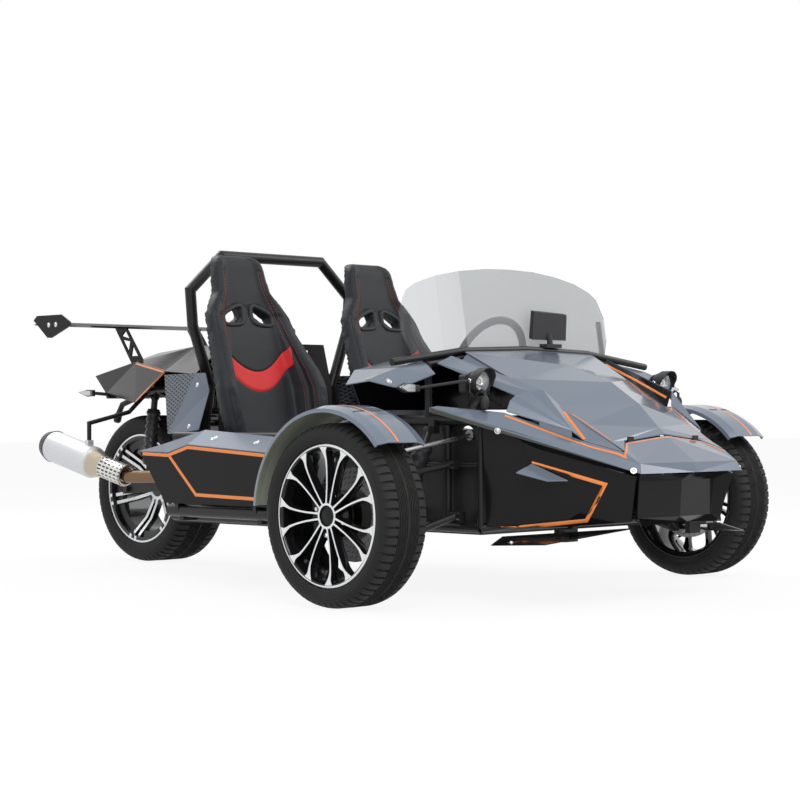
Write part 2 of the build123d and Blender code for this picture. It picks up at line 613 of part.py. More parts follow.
def wheels():
    for name, side in (("left", 1), ("right", -1)):
        centre = (side * WHEEL_X, 0, FRONT_TYRE_R)
        pad = [(22, SEAT_GAP), (62, SEAT_GAP), (62, 14), (44, 32), (22, 32)]
        save("tyre_front_" + name, [tyre(FRONT_TYRE_R, FRONT_TYRE_W, centre)])
        save("rim_front_" + name, [rim(FRONT_TYRE_W, FRONT_DISH, FRONT_SPOKES, 7, FRONT_TURN, centre, side, pad)])
        save("hub_disc_" + name, [disc(centre, side, SPINDLE_R + SEAT_GAP, DISC_X)])
    centre = (0, WHEELBASE, REAR_TYRE_R)
    pad = [(AXLE_R + SEAT_GAP, -30), (40, -30), (40, -6), (62, -5), (62, 20), (AXLE_R + SEAT_GAP, 20)]
    save("tyre_rear", [tyre(REAR_TYRE_R, REAR_TYRE_W, centre)])
    save("rim_rear", [rim(REAR_TYRE_W, REAR_DISH, REAR_SPOKES, 6, REAR_TURN, centre, -1, pad)])


# ---------------------------------------------------------------------------
# front suspension and steering
# ---------------------------------------------------------------------------
def sector(profile, centre, start, sweep):
    """A profile of (radius, x) corners turned part of a circle about X.

    Angles start at +Z and grow towards -Y (the front of the car).
    """
    face = Face(Wire.make_polygon([Vector(x, 0, r) for r, x in profile], close=True))
    solid = Solid.revolve(face, sweep, Axis.X)
    return solid.rotate(Axis.X, start).moved(Location(centre))


def knuckle(side):
    x0 = KINGPIN_X + 23
    x1 = KINGPIN_X + 41
    centre = (WHEEL_X, 0, FRONT_TYRE_R)
    local = KINGPIN_X - WHEEL_X
    arm = [
        (KINGPIN_X + 5, 20), (KINGPIN_X + 21, 20), (KINGPIN_X + 21, -25),
        (TIE_ROD_X + 14, -STEER_ARM - 12), (TIE_ROD_X - 14, -STEER_ARM - 12),
        (TIE_ROD_X - 14, -STEER_ARM + 12), (KINGPIN_X + 5, -30),
    ]
    arm_z = TIE_ROD_Z - 6
    stay_x = KINGPIN_X + 14
    parts = [
        block((x0, -25, LOWER_BALL_Z - 8), (x1, 25, arm_z + 12)),
        block((KINGPIN_X, -14, arm_z - 16), (x1, 25, arm_z + 12)),
        bar((x0 + 5, 0, FRONT_TYRE_R), (WHEEL_X - 4, 0, FRONT_TYRE_R), SPINDLE_R),
        bar((KINGPIN_X, 0, LOWER_BALL_Z - 14), (KINGPIN_X, 0, LOWER_BALL_Z + 32), 7),
        bar((KINGPIN_X, 0, UPPER_BALL_Z - 32), (KINGPIN_X, 0, UPPER_BALL_Z + 14), 7),
        block((KINGPIN_X - 12, -12, LOWER_BALL_Z + 19), (x0 + 5, 12, LOWER_BALL_Z + 33)),
        block((KINGPIN_X - 12, -12, UPPER_BALL_Z - 33), (x0 + 5, 12, UPPER_BALL_Z - 19)),
        prism([(x, y, arm_z) for x, y in arm], (0, 0, 12)),
        sector([(20, local + 25), (140, local + 25), (140, local + 41), (20, local + 41)], centre, 250, 40),
        sector([(112, local + 25), (140, local + 25), (140, CALIPER_X0 - SEAT_GAP),
                (112, CALIPER_X0 - SEAT_GAP)], centre, 255, 30),
    ]
    strap = [
        (286, -97.5), (286, -91), (296, -91), (304.4, -60.8), (304.4, -40), (308.1, -40),
        (308.1, -60.9), (299.45, -94.1), (291.8, -97.5),
    ]
    for turn in FENDER_STAYS:
        parts.append(sector(strap, centre, turn - 4, 8))
        a = math.radians(turn)
        end = (WHEEL_X - 94.5, -289 * math.sin(a), FRONT_TYRE_R + 289 * math.cos(a))
        parts.append(bar((stay_x, 0, arm_z - 4), end, 4.5))
    solid = fuse(parts)
    return solid if side > 0 else solid.mirror(Plane.YZ)


def caliper(side):
    centre = (WHEEL_X, 0, FRONT_TYRE_R)
    gap = 5.5
    profile = [
        (90, CALIPER_X0), (154, CALIPER_X0), (154, DISC_X + 26), (90, DISC_X + 26),
        (90, DISC_X + 8 + gap), (135 + gap, DISC_X + 8 + gap),
        (135 + gap, DISC_X - gap), (90, DISC_X - gap),
    ]
    solid = sector(profile, centre, 245, 50)
    return solid if side > 0 else solid.mirror(Plane.YZ)


def fender(side):
    centre = (WHEEL_X, 0, FRONT_TYRE_R)
    profile = [
        (292, -101.5), (303, -98), (312, -62), (312, 50), (303, 85), (292, 88.5),
        (292, 85), (300, 81.5), (308.5, 49), (308.5, -61), (300, -94.5), (292, -98),
    ]
    solid = sector(profile, centre, -86, 134)
    return solid if side > 0 else solid.mirror(Plane.YZ)


def wishbone(ball, pivot, spread, radius):
    """A-arm from the ball joint on the kingpin line to two bushes."""
    x, y, z = pivot
    parts = [bar((KINGPIN_X, 0, ball - 13), (KINGPIN_X, 0, ball + 13), 17)]
    for s in (-1, 1):
        parts.append(bar((KINGPIN_X - 6, s * 8, ball), (x + 4, s * y, z), radius))
        parts.append(bar((x, s * y - 18, z), (x, s * y + 18, z), BUSH_R))
    if spread:
        parts.append(bar((COIL_BASE[0], -40, spread), (COIL_BASE[0], 40, spread), 9))
    solid = fuse(parts)
    return solid.cut(bar((KINGPIN_X, 0, ball - 20), (KINGPIN_X, 0, ball + 20), 7 + SEAT_GAP))


def coil_over(base, top, turns, radius):
    """Damper with a ribbed sleeve for the spring and an eye at each end."""
    a, b = Vector(*base), Vector(*top)
    length = (b - a).length
    pitch = (length - 90) / turns
    profile = [(0, 6), (9, 6), (9, 45)]
    for i in range(turns):
        z = 45 + i * pitch
        profile += [(radius - 6, z), (radius, z + pitch / 2)]
    profile += [(radius - 6, length - 45), (12, length - 45), (12, length - 6), (0, length - 6)]
    face = Face(Wire.make_polygon([Vector(r, 0, z) for r, z in profile], close=True))
    body = Solid.revolve(face, 360, Axis.Z)
    frame_plane = Plane(origin=a, x_dir=(0, 1, 0), z_dir=b - a)
    body = body.moved(frame_plane.location)
    eyes = [bar((p.X, p.Y - 11, p.Z), (p.X, p.Y + 11, p.Z), COIL_EYE_R) for p in (a, b)]
    return fuse([body] + eyes)


def front_suspension():
    for name, side in (("left", 1), ("right", -1)):
        save("knuckle_" + name, [knuckle(side)])
        save("caliper_" + name, [caliper(side)])
        save("fender_" + name, [fender(side)])
    cross_z = COIL_BASE[2] - COIL_EYE_R - SEAT_GAP - 9
    arms = both(wishbone(LOWER_BALL_Z, LOWER_PIVOT, cross_z, 11))
    save("wishbones", arms + both(wishbone(UPPER_BALL_Z, UPPER_PIVOT, None, 9)))
    save("coil_overs", both(coil_over(COIL_BASE, COIL_TOP, 7, 31)))


def steering():
    housing = bar((-330, RACK_Y, RACK_Z), (330, RACK_Y, RACK_Z), 24)
    housing = housing.cut(bar((-340, RACK_Y, RACK_Z), (340, RACK_Y, RACK_Z), 11 + SEAT_GAP))
    lugs = [block((s * 260 - 14, RACK_Y - 24, RACK_Z - 10), (s * 260 + 14, RACK_Y - 14, RACK_Z + 10))
            for s in (-1, 1)]
    slope = math.radians(COLUMN_SLOPE)
    to_driver = Vector(0, math.cos(slope), math.sin(slope))
    centre = Vector(*STEER_WHEEL)
    length = (STEER_WHEEL[1] - RACK_Y) / math.cos(slope)
    mouth = tuple(centre - to_driver * (length - 80))
    foot = tuple(centre - to_driver * (length - 20))
    bore_foot = tuple(centre - to_driver * (length - 24))
    pinion = bar(foot, mouth, 19).cut(bar(bore_foot, mouth, SHAFT_R + SEAT_GAP))
    save("steering_rack", [fuse([housing] + lugs + [pinion])])
    eye_z = TIE_ROD_Z + 6 + 0.5
    rods = [bar((-RACK_END_X, RACK_Y, RACK_Z), (RACK_END_X, RACK_Y, RACK_Z), 11)]
    for s in (-1, 1):
        joint = [(s * x, RACK_Y, RACK_Z) for x in (RACK_END_X - 14, RACK_END_X + 10)]
        rods.append(bar(*joint, 16))
        rods.append(bar((s * RACK_END_X, RACK_Y, RACK_Z), (s * TIE_ROD_X, -STEER_ARM, eye_z + 8), 7))
        rods.append(bar((s * TIE_ROD_X, -STEER_ARM, eye_z), (s * TIE_ROD_X, -STEER_ARM, eye_z + 16), 13))
    save("tie_rods", [fuse(rods)])
    plane = Plane(origin=centre, x_dir=(1, 0, 0), z_dir=to_driver)
    rim_ring = Solid.make_torus(STEER_WHEEL_R, 13, plane)
    hub_plane = Plane(origin=centre - to_driver * 45, x_dir=(1, 0, 0), z_dir=to_driver)
    parts = [rim_ring, Solid.make_cylinder(34, 34, hub_plane)]
    for turn in (-15, 195, 90):
        a = math.radians(turn)
        out = plane.x_dir * math.cos(a) + plane.y_dir * math.sin(a)
        tip = centre + out * STEER_WHEEL_R
        parts.append(bar(tuple(centre - to_driver * 26), tuple(tip), 8))
    save("steering_wheel", [fuse(parts)])
    low = centre - to_driver * (length - 30)
    top = centre - to_driver * (45 + SEAT_GAP)
    save("steering_shaft", [bar(tuple(low), tuple(top), SHAFT_R)])


# ---------------------------------------------------------------------------
# cowl, screen and lamps
# ---------------------------------------------------------------------------


def screen_y(x, z):
    return 64 + 0.158 * (z - 741) + 28 * (x / 440.0) ** 2


def cowl():
    points, facets = two_sided(COWL, COWL_FACETS)
    save("cowl", [sheet(points, facets, (0, 0, -SHEET_T))])
    half = [TUBE_END, (TUBE_BEND_X, TUBE_Y, TUBE_BEND_Z), (0, TUBE_Y, TUBE_MID_Z)]
    run = half + [mirror_x(p) for p in reversed(half[:-1])]
    tube = tube_run(run, TUBE_R)
    strips = []
    columns = [0, 110, 220, 320, 400, 440, 474]
    tops = [1002, 999, 988, 970, 945, 922, 860]
    lows = [744.4, 740.2, 736, 732.2, 718.5, 714, 790]
    for x0, x1, t0, t1, l0, l1 in zip(columns, columns[1:], tops, tops[1:], lows, lows[1:]):
        points = {}
        for key, x, z in (("a", x0, l0), ("b", x1, l1), ("c", x1, t1), ("d", x0, t0)):
            points[key] = (x, screen_y(x, z), z)
        strips.append(points)
    names = {}
    facets = []
    for i, points in enumerate(strips):
        for key, index in (("a", i), ("b", i + 1)):
            names["low%d" % index] = points[key]
        for key, index in (("d", i), ("c", i + 1)):
            names["top%d" % index] = points[key]
        a, b, c, d = "low%d" % i, "low%d" % (i + 1), "top%d" % (i + 1), "top%d" % i
        facets += [(a, b, c), (a, c, d)]
    points, facets = two_sided(names, facets)
    save("windscreen", [sheet(points, facets, (0, SCREEN_T, 0))])
    corners = [(434, 732), (458, 732), (458, 850), (434, 850)]
    clip = prism([(x, screen_y(x, z) + SCREEN_T + 0.8, z) for x, z in corners], (0, 5, 0))
    save("screen_tube", [tube] + both(clip))
    y = TUBE_Y + 6
    plate = prism([(35, y, 780), (195, y, 780), (200, y, 862), (45, y, 868)], (0, 14, 5))
    stem = bar((115, y + 2, 800), (115, TUBE_Y, TUBE_MID_Z + TUBE_R - 2), 9)
    clamp = block((80, TUBE_Y - 16, TUBE_MID_Z + TUBE_R - 4), (150, TUBE_Y + 16, TUBE_MID_Z + TUBE_R + 8))
    display = fuse([plate, stem, clamp])
    tube_room = bar((60, TUBE_Y, TUBE_MID_Z - 2), (170, TUBE_Y, TUBE_MID_Z - 5.7), TUBE_R + SEAT_GAP)
    save("display", [display.cut(tube_room)])


def lamps():
    x, y, z = LAMP
    body = bar((x, y - 34, z), (x, y + 22, z), 50).cut(bar((x, y - 40, z), (x, y - 26, z), 44))
    back = bar((x, y + 20, z), (x, y + 48, z), 30)
    hood = bar((x, y - 62, z), (x, y - 20, z), 55).cut(bar((x, y - 70, z), (x, y, z), 50.5))
    hood = hood.cut(block((x - 70, y - 80, z - 80), (x + 70, y + 10, z + 14)))
    post = block((x - 10, y + 8, UPPER_RAIL_Z + RAIL_R + SEAT_GAP), (x + 10, y + 34, z - 40))
    arm_end = (x + 112, y + 92, z - 18)
    arm = bar((x + 20, y + 36, z - 6), arm_end, 5)
    ball = Solid.make_sphere(17, Plane(origin=arm_end), -90, 90, 360)
    small = bar((x + 14, y - 56, z - 61), (x + 14, y - 32, z - 61), 14)
    hanger = bar((x + 14, y - 34, z - 58), (x + 14, y - 14, z - 40), 4)
    save("headlamp_bodies", both(fuse([body, back, hood, post, arm, ball, hanger, small])))
    lens = bar((x, y - 32, z), (x, y - 26.3, z), 43.7)
    ax, ay, az = arm_end
    arrow = [(ax + 10, ay - 22, az - 15), (ax + 50, ay - 22, az - 12), (ax + 78, ay - 22, az + 4),
             (ax + 40, ay - 22, az + 17), (ax + 10, ay - 22, az + 15)]
    arm_room = Solid.make_sphere(17 + SEAT_GAP, Plane(origin=arm_end), -90, 90, 360)
    arrow = prism(arrow, (0, 24, 0)).cut(arm_room)
    save("lamp_lenses", both(lens) + both(arrow))


def dash():
    t = SHEET_T
    y = 231
    edge = [(520, 560), (560, 640), (560, 668), (335, 700), (328, 721)]
    outline = edge + [(0, 735.1)] + [(-x, z) for x, z in reversed(edge)]
    panel = prism([(px, y, pz) for px, pz in outline], (0, t, 0))
    slope = math.radians(COLUMN_SLOPE)
    column_z = STEER_WHEEL[2] - (STEER_WHEEL[1] - y) * math.tan(slope)
    panel = panel.cut(bar((STEER_WHEEL[0], y - 30, column_z), (STEER_WHEEL[0], y + 30, column_z), 24))
    return panel


# ---------------------------------------------------------------------------
# side pods
# ---------------------------------------------------------------------------
POD_X = 640.0
POD_CAP = {
    "front": (POD_X, 529, 431), "kink2": (POD_X, 927, 454), "kink1": (POD_X, 1029, 428),
    "tip": (POD_X, 1180, 430), "nose": (598, 385, 420), "in_nose": (570, 385, 455),
    "in_front": (566, 600, 480), "in_mid": (566, 927, 500), "in_rear": (566, 1150, 452),
    "rear": (560, 1235, 436),
}
POD_CAP_FACETS = [
    ("nose", "front", "in_nose"), ("front", "in_front", "in_nose"), ("front", "kink2", "in_front"),
    ("kink2", "in_mid", "in_front"), ("kink2", "kink1", "in_mid"), ("kink1", "in_rear", "in_mid"),
    ("kink1", "tip", "in_rear"), ("tip", "rear", "in_rear"),
]
POD_SIDE = {
    "nose": (598, 385, 416), "front": (POD_X, 529, 427), "kink2": (POD_X, 927, 450),
    "kink1": (POD_X, 1029, 424), "tip": (POD_X, 1180, 426), "low_nose": (598, 385, 262),
    "low_front": (POD_X, 521, 262), "low_mid": (POD_X, 880, 262), "low_rear": (POD_X, 1046, 262),
}
POD_SIDE_FACETS = [
    ("nose", "low_nose", "low_front"), ("nose", "low_front", "front"),
    ("front", "low_front", "low_mid"), ("front", "low_mid", "kink2"),
    ("kink2", "low_mid", "kink1"), ("low_mid", "low_rear", "kink1"), ("low_rear", "tip", "kink1"),
]


def pods():
    save("pod_caps", both(sheet(POD_CAP, POD_CAP_FACETS, (0, 0, -SHEET_T))))
    save("pod_sides", both(sheet(POD_SIDE, POD_SIDE_FACETS, (-SHEET_T, 0, 0))))
    sill_x = POD_X - 24
    sill = tube_run([(sill_x - 44, 385, SILL_Z), (sill_x, 521, SILL_Z), (sill_x, 1046, SILL_Z)], SILL_R)
    ties = [block((CABIN_RAIL_X + RAIL_R + SEAT_GAP, y - 10, RAIL_Z - 8), (sill_x, y + 10, SILL_Z))
            for y in (600, 990)]
    for y in (600, 990):
        post = block((sill_x - 8, y - 8, SILL_Z), (sill_x + 8, y + 8, 520))
        ties.append(trimmed(post, POD_CAP, POD_CAP_FACETS, *BELOW))
        ties.append(block((sill_x, y - 8, SILL_Z), (POD_X - SHEET_T - SEAT_GAP, y + 8, SILL_Z + 40)))
    save("sills", both(fuse([sill] + ties)))


def pedals():
    """Three pads on arms, hung from a plate on the front bulkhead."""
    y = FRONT_BULKHEAD_Y + RAIL_R + SHEET_T + 2 * SEAT_GAP
    parts = [block((SEAT_X - 92, y, 400), (SEAT_X + 92, y + 6, 442))]
    for x, half in ((SEAT_X - 72, 15), (SEAT_X, 26), (SEAT_X + 70, 22)):
        arm = [(y + 4, 428), (y + 4, 414), (y + 50, 300), (y + 58, 304)]
        parts.append(prism([(x - 5, a, b) for a, b in arm], (10, 0, 0)))
        parts.append(block((x - half, y + 50, 262), (x + half, y + 56, 322)))
    save("pedals", [fuse(parts)])


# ---------------------------------------------------------------------------
# seats
# ---------------------------------------------------------------------------
SEAT_ROWS = [  # y and z of the middle, half width, bolster reach forward
    (870, 345, 165, 60), (915, 480, 205, 85), (960, 640, 232, 105), (985, 740, 205, 80),
    (1010, 820, 182, 45), (1030, 880, 172, 30), (1048, 960, 120, 16), (1068, 1050, 104, 10),
    (1076, 1100, 84, 6),
]
PAN_ROWS = [  # y and z of the middle, half width, bolster height
    (560, 405, 170, 25), (620, 398, 195, 45), (720, 372, 205, 60), (820, 350, 200, 70), (872, 343, 168, 62),
]


def seat():
    columns = (-1.0, -0.72, 0.72, 1.0)
    back, pan = {}, {}
    for i, (y, z, half, reach) in enumerate(SEAT_ROWS):
        for j, c in enumerate(columns):
            forward = reach if abs(c) == 1 else 0
            back["%d_%d" % (i, j)] = (SEAT_X + c * half, y - forward, z)
    for i, (y, z, half, rise) in enumerate(PAN_ROWS):
        for j, c in enumerate(columns):
            lift = rise if abs(c) == 1 else 0
            pan["%d_%d" % (i, j)] = (SEAT_X + c * half, y, z + lift)

    def grid(rows):
        facets = []
        for i in range(rows - 1):
            for j in range(3):
                a, b = "%d_%d" % (i, j), "%d_%d" % (i, j + 1)
                c, d = "%d_%d" % (i + 1, j + 1), "%d_%d" % (i + 1, j)
                facets += [(a, b, c), (a, c, d)]
        return facets

    backrest = sheet(back, grid(len(SEAT_ROWS)), (0, 48, 0))
    body = fuse([backrest, sheet(pan, grid(len(PAN_ROWS)), (0, 0, -55))])
    for s in (-1, 1):
        x = SEAT_X + s * 62
        body = body.cut(block((x - 34, 900, 860), (x + 34, 1150, 896)))
    return body


def seat_beams():
    beams = [block((40, y - 12, FLOOR_TOP), (520, y + 12, top)) for y, top in ((600, 343.6), (840, 290.4))]
    return both(fuse(beams + [block((40, 600, FLOOR_TOP), (60, 840, 262))]))


# ---------------------------------------------------------------------------
# tail
# ---------------------------------------------------------------------------
TAIL = {
    "front_mid": (0, HOOP_Y + 40, 800), "front_out": (232, HOOP_Y + 40, 762), "mid": (0, 1679, 804),
    "peak": (320, HOOP_Y + 210, 703), "mid2": (0, 1909, 784), "side2": (200, 1786, 744),
    "tip": (0, 2220, 717), "tip_out": (88, 2195, 700), "low_tip": (100, 2110, 632),
    "low2": (250, 1727, 593), "front_low": (318, HOOP_Y + 40, 690),
}
TAIL_FACETS = [
    ("front_mid", "front_out", "mid"), ("front_out", "peak", "mid"), ("mid", "peak", "side2"),
    ("mid", "side2", "mid2"), ("mid2", "side2", "tip_out"), ("mid2", "tip_out", "tip"),
]
TAIL_SIDE_FACETS = [
    ("front_out", "front_low", "peak"), ("peak", "low2", "side2"), ("side2", "low2", "low_tip"),
    ("side2", "low_tip", "tip_out"),
]
TAIL_INNER = {}
for name, place in TAIL.items():
    across = SHEET_T if any(name in facet for facet in TAIL_SIDE_FACETS) else 0
    down = SHEET_T if any(name in facet for facet in TAIL_FACETS) else 0
    TAIL_INNER[name] = (place[0] - across, place[1], place[2] - down)
QUARTER = {
    "top_front": (412, HOOP_Y - 132, 690), "mid_front": (418, HOOP_Y - 160, 629),
    "low_front": (470, HOOP_Y - 166, 498), "low_rear": (455, HOOP_Y + 12, 484),
    "top_rear": (402, HOOP_Y - 65, 690),
}
QUARTER_FACETS = [
    ("top_front", "mid_front", "top_rear"), ("mid_front", "low_front", "low_rear"),
    ("mid_front", "low_rear", "top_rear"),
]
GRILLE = {
    "top": (402, HOOP_Y - 64.4, 690), "low": (455, HOOP_Y + 12.6, 484),
    "rear_low": (370, HOOP_Y + 130, 484), "rear_top": (324, HOOP_Y + 206, 690),
}
GRILLE_FACETS = [("top", "low", "rear_low"), ("top", "rear_low", "rear_top")]


STRUT_WINDOWS = [  # corners: part of the way up the strut, part of the way across it
    [(0.40, 0.20), (0.62, 0.20), (0.40, 0.76)],
    [(0.48, 0.82), (0.70, 0.26), (0.74, 0.82)],
    [(0.76, 0.20), (0.93, 0.20), (0.82, 0.74)],
]


def tail():
    points, facets = two_sided(TAIL, TAIL_FACETS + TAIL_SIDE_FACETS)
    skin = shell_between(points, two_sided(TAIL_INNER, [])[0], facets)
    save("tail_body", [skin] + both(sheet(QUARTER, QUARTER_FACETS, (-SHEET_T, 0, 0))))
    grilles = both(sheet(GRILLE, GRILLE_FACETS, (-SHEET_T, 0, 0)))
    save("tail_grilles", grilles + [rear_bulkhead()])
    blade = [(-60, 0), (-40, 9), (0, 12), (60, 4), (60, 1), (0, -4), (-40, -6)]
    outline = [(-WING_HALF_SPAN + 4, WING_Y + y, WING_Z + z) for y, z in blade]
    blade = prism(outline, (2 * WING_HALF_SPAN - 8, 0, 0))
    plate = [(58, 18), (37, 34), (-113, 34), (-168, 6), (-171, -8), (-53, -48), (-29, -47)]
    outline = [(WING_HALF_SPAN - 4 + SEAT_GAP, WING_Y + y, WING_Z + z) for y, z in plate]
    ends = both(prism(outline, (5, 0, 0)))
    strut = [(-165, -180), (-85, -180), (52, 2), (-18, 2)]
    plate = prism([(168, WING_Y + y, WING_Z + z) for y, z in strut], (6, 0, 0))
    for window in STRUT_WINDOWS:
        hole = []
        for along, across in window:
            y = -165 + 147 * along + (80 - 10 * along) * across
            hole.append((160, WING_Y + y, WING_Z - 180 + 182 * along))
        plate = plate.cut(prism(hole, (20, 0, 0)))
    struts = both(trimmed(plate, *two_sided(TAIL, TAIL_FACETS), *ABOVE))
    save("rear_wing", [fuse([blade] + struts)] + ends)


def rear_bulkhead():
    t = SHEET_T
    y = HOOP_Y - HOOP_R - SEAT_GAP - t
    outline = [(-225, 800), (225, 800), (265, 640), (265, 300), (-265, 300), (-265, 640)]
    panel = prism([(x, y, z) for x, z in outline], (0, t, 0))
    for row in range(7):
        z = 630 + 23 * row
        panel = panel.cut(block((-150, y - 1, z), (150, y + t + 1, z + 10)))
    return panel


# ---------------------------------------------------------------------------
# power unit and rear suspension
# ---------------------------------------------------------------------------
def rear_end():
    front, rear = HOOP_Y + 60, PIVOT_Y - 60
    save("engine", [fuse([
        block((-ENGINE_SIDE, front, 250), (ENGINE_SIDE, rear, 455)),
        block((-110, front - 20, 450), (110, front + 0.72 * (rear - front), 540)),
    ])])
    arms = []
    for s in (-1, 1):
        flank = [(PIVOT_Y, PIVOT_Z - 22), (PIVOT_Y, PIVOT_Z + 22),
                 (WHEELBASE + 30, REAR_TYRE_R + 20), (WHEELBASE + 30, REAR_TYRE_R - 20)]
        arms.append(prism([(s * ARM_X - 13, y, z) for y, z in flank], (26, 0, 0)))
    arms.append(bar((-ARM_X - 20, PIVOT_Y, PIVOT_Z), (ARM_X + 20, PIVOT_Y, PIVOT_Z), 26))
    arm = fuse(arms)
    arm = arm.cut(bar((-200, PIVOT_Y, PIVOT_Z), (200, PIVOT_Y, PIVOT_Z), PIVOT_R + SEAT_GAP))
    arm = arm.cut(bar((-200, WHEELBASE, REAR_TYRE_R), (200, WHEELBASE, REAR_TYRE_R), AXLE_R + SEAT_GAP))
    axle = bar((-172, WHEELBASE, REAR_TYRE_R), (172, WHEELBASE, REAR_TYRE_R), AXLE_R)
    save("swingarm", [arm, axle])
    base = (ARM_X, WHEELBASE - 107, 288 + 22 + SEAT_GAP + COIL_EYE_R)
    top = (ARM_X, WHEELBASE - 152, 638 - 12 - SEAT_GAP - COIL_EYE_R)
    save("rear_shocks", both(coil_over(base, top, 8, 27)))


def exhaust():
    tilt = math.radians(CAN_TILT)
    axis = Vector(0, math.cos(tilt), math.sin(tilt))
    rear = Vector(*CAN_REAR)
    front = rear - axis * CAN_LENGTH
    cone = front - axis * 150
    profile = [  # radius, distance behind the front of the cone
        (0, 0), (30, 0), (30, 14), (24, 14), (24, 30), (CAN_R - 4, 150), (CAN_R, 156),
        (CAN_R, 150 + CAN_LENGTH - 34), (CAN_R + 2, 150 + CAN_LENGTH - 32), (CAN_R - 8, 150 + CAN_LENGTH),
        (30, 150 + CAN_LENGTH), (30, 166 + CAN_LENGTH), (24, 166 + CAN_LENGTH), (24, 70 + CAN_LENGTH),
        (0, 70 + CAN_LENGTH),
    ]
    can = turned(profile, cone, rear)
    hanger = block((CAN_REAR[0] - 12, HANGER_Y - 10, 400), (CAN_REAR[0] + 12, HANGER_Y + 10, HANGER_Z))
    can = can.fuse(hanger)
    start = cone - axis * SEAT_GAP
    bend = start - axis * 60
    entry_y = PIVOT_Y - 85
    entry = (-ENGINE_SIDE - SEAT_GAP, entry_y, 330)
    pipe = tube_run([tuple(start), tuple(bend), (-300, entry_y, 330), entry], 22)
    save("exhaust", [can, pipe])


def rear_lamps():
    """Blank number panel on an arm under the tail, with an indicator on each side."""
    y = TAIL_Y - 170
    z = 625 - 12 - SEAT_GAP
    arm = [
        (y - 12, z - 7), (y - 12, z), (y + 14, z), (TAIL_Y - 34, 560), (TAIL_Y - 34, 548),
        (y + 12, z - 7),
    ]
    parts = [
        prism([(-30, a, b) for a, b in arm], (60, 0, 0)),
        block((-92, TAIL_Y - 36, 468), (92, TAIL_Y - 33, 564)),
        tube_run([(-170, y + 80, 640), (-155, y + 95, 572), (155, y + 95, 572), (170, y + 80, 640)], 6),
    ]
    parts += both(bar((170, y + 62, 638), (170, y + 132, 642), 15))
    save("rear_lamps", [fuse(parts)])


frame()
nose_panels()
bumper()
tub()
wheels()
front_suspension()
steering()
cowl()
lamps()
save("dash_panel", [dash()])
pods()
pedals()
save("seats", both(seat()))
tail()
rear_end()
exhaust()
rear_lamps()
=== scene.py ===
"""Finishes and fine detail for the three wheeled roadster.

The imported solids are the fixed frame.  Each sub-assembly below is a class
that builds what the solids leave out and dresses the solids it owns.
Lengths are in metres, +Z is up, the nose points along -Y.
"""

import logging
import math
from dataclasses import dataclass, field
from enum import Enum
from typing import Callable, Iterable, Sequence

import bmesh
import bpy
from mathutils import Matrix, Vector
from mathutils.bvhtree import BVHTree


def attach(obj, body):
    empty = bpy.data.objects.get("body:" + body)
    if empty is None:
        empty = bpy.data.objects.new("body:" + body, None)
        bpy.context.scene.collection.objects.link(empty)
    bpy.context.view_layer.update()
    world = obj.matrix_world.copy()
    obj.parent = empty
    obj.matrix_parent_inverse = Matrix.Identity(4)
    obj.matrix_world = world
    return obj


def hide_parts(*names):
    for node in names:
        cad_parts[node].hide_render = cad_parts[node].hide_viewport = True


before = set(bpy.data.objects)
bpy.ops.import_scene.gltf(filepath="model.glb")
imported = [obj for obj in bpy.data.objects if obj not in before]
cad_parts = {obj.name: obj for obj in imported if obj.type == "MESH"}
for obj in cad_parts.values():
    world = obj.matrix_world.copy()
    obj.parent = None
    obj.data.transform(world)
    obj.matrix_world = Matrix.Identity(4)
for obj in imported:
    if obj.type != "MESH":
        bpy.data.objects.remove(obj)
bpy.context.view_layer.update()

LOG = logging.getLogger("roadster")

Point = tuple[float, float, float]
Colour = tuple[float, float, float]

FRONT_AXLE_Y = -0.7975
CHEVRON = ((0.625, 4.7), (0.692, 4.7))
CHEVRON_REACH = 0.137


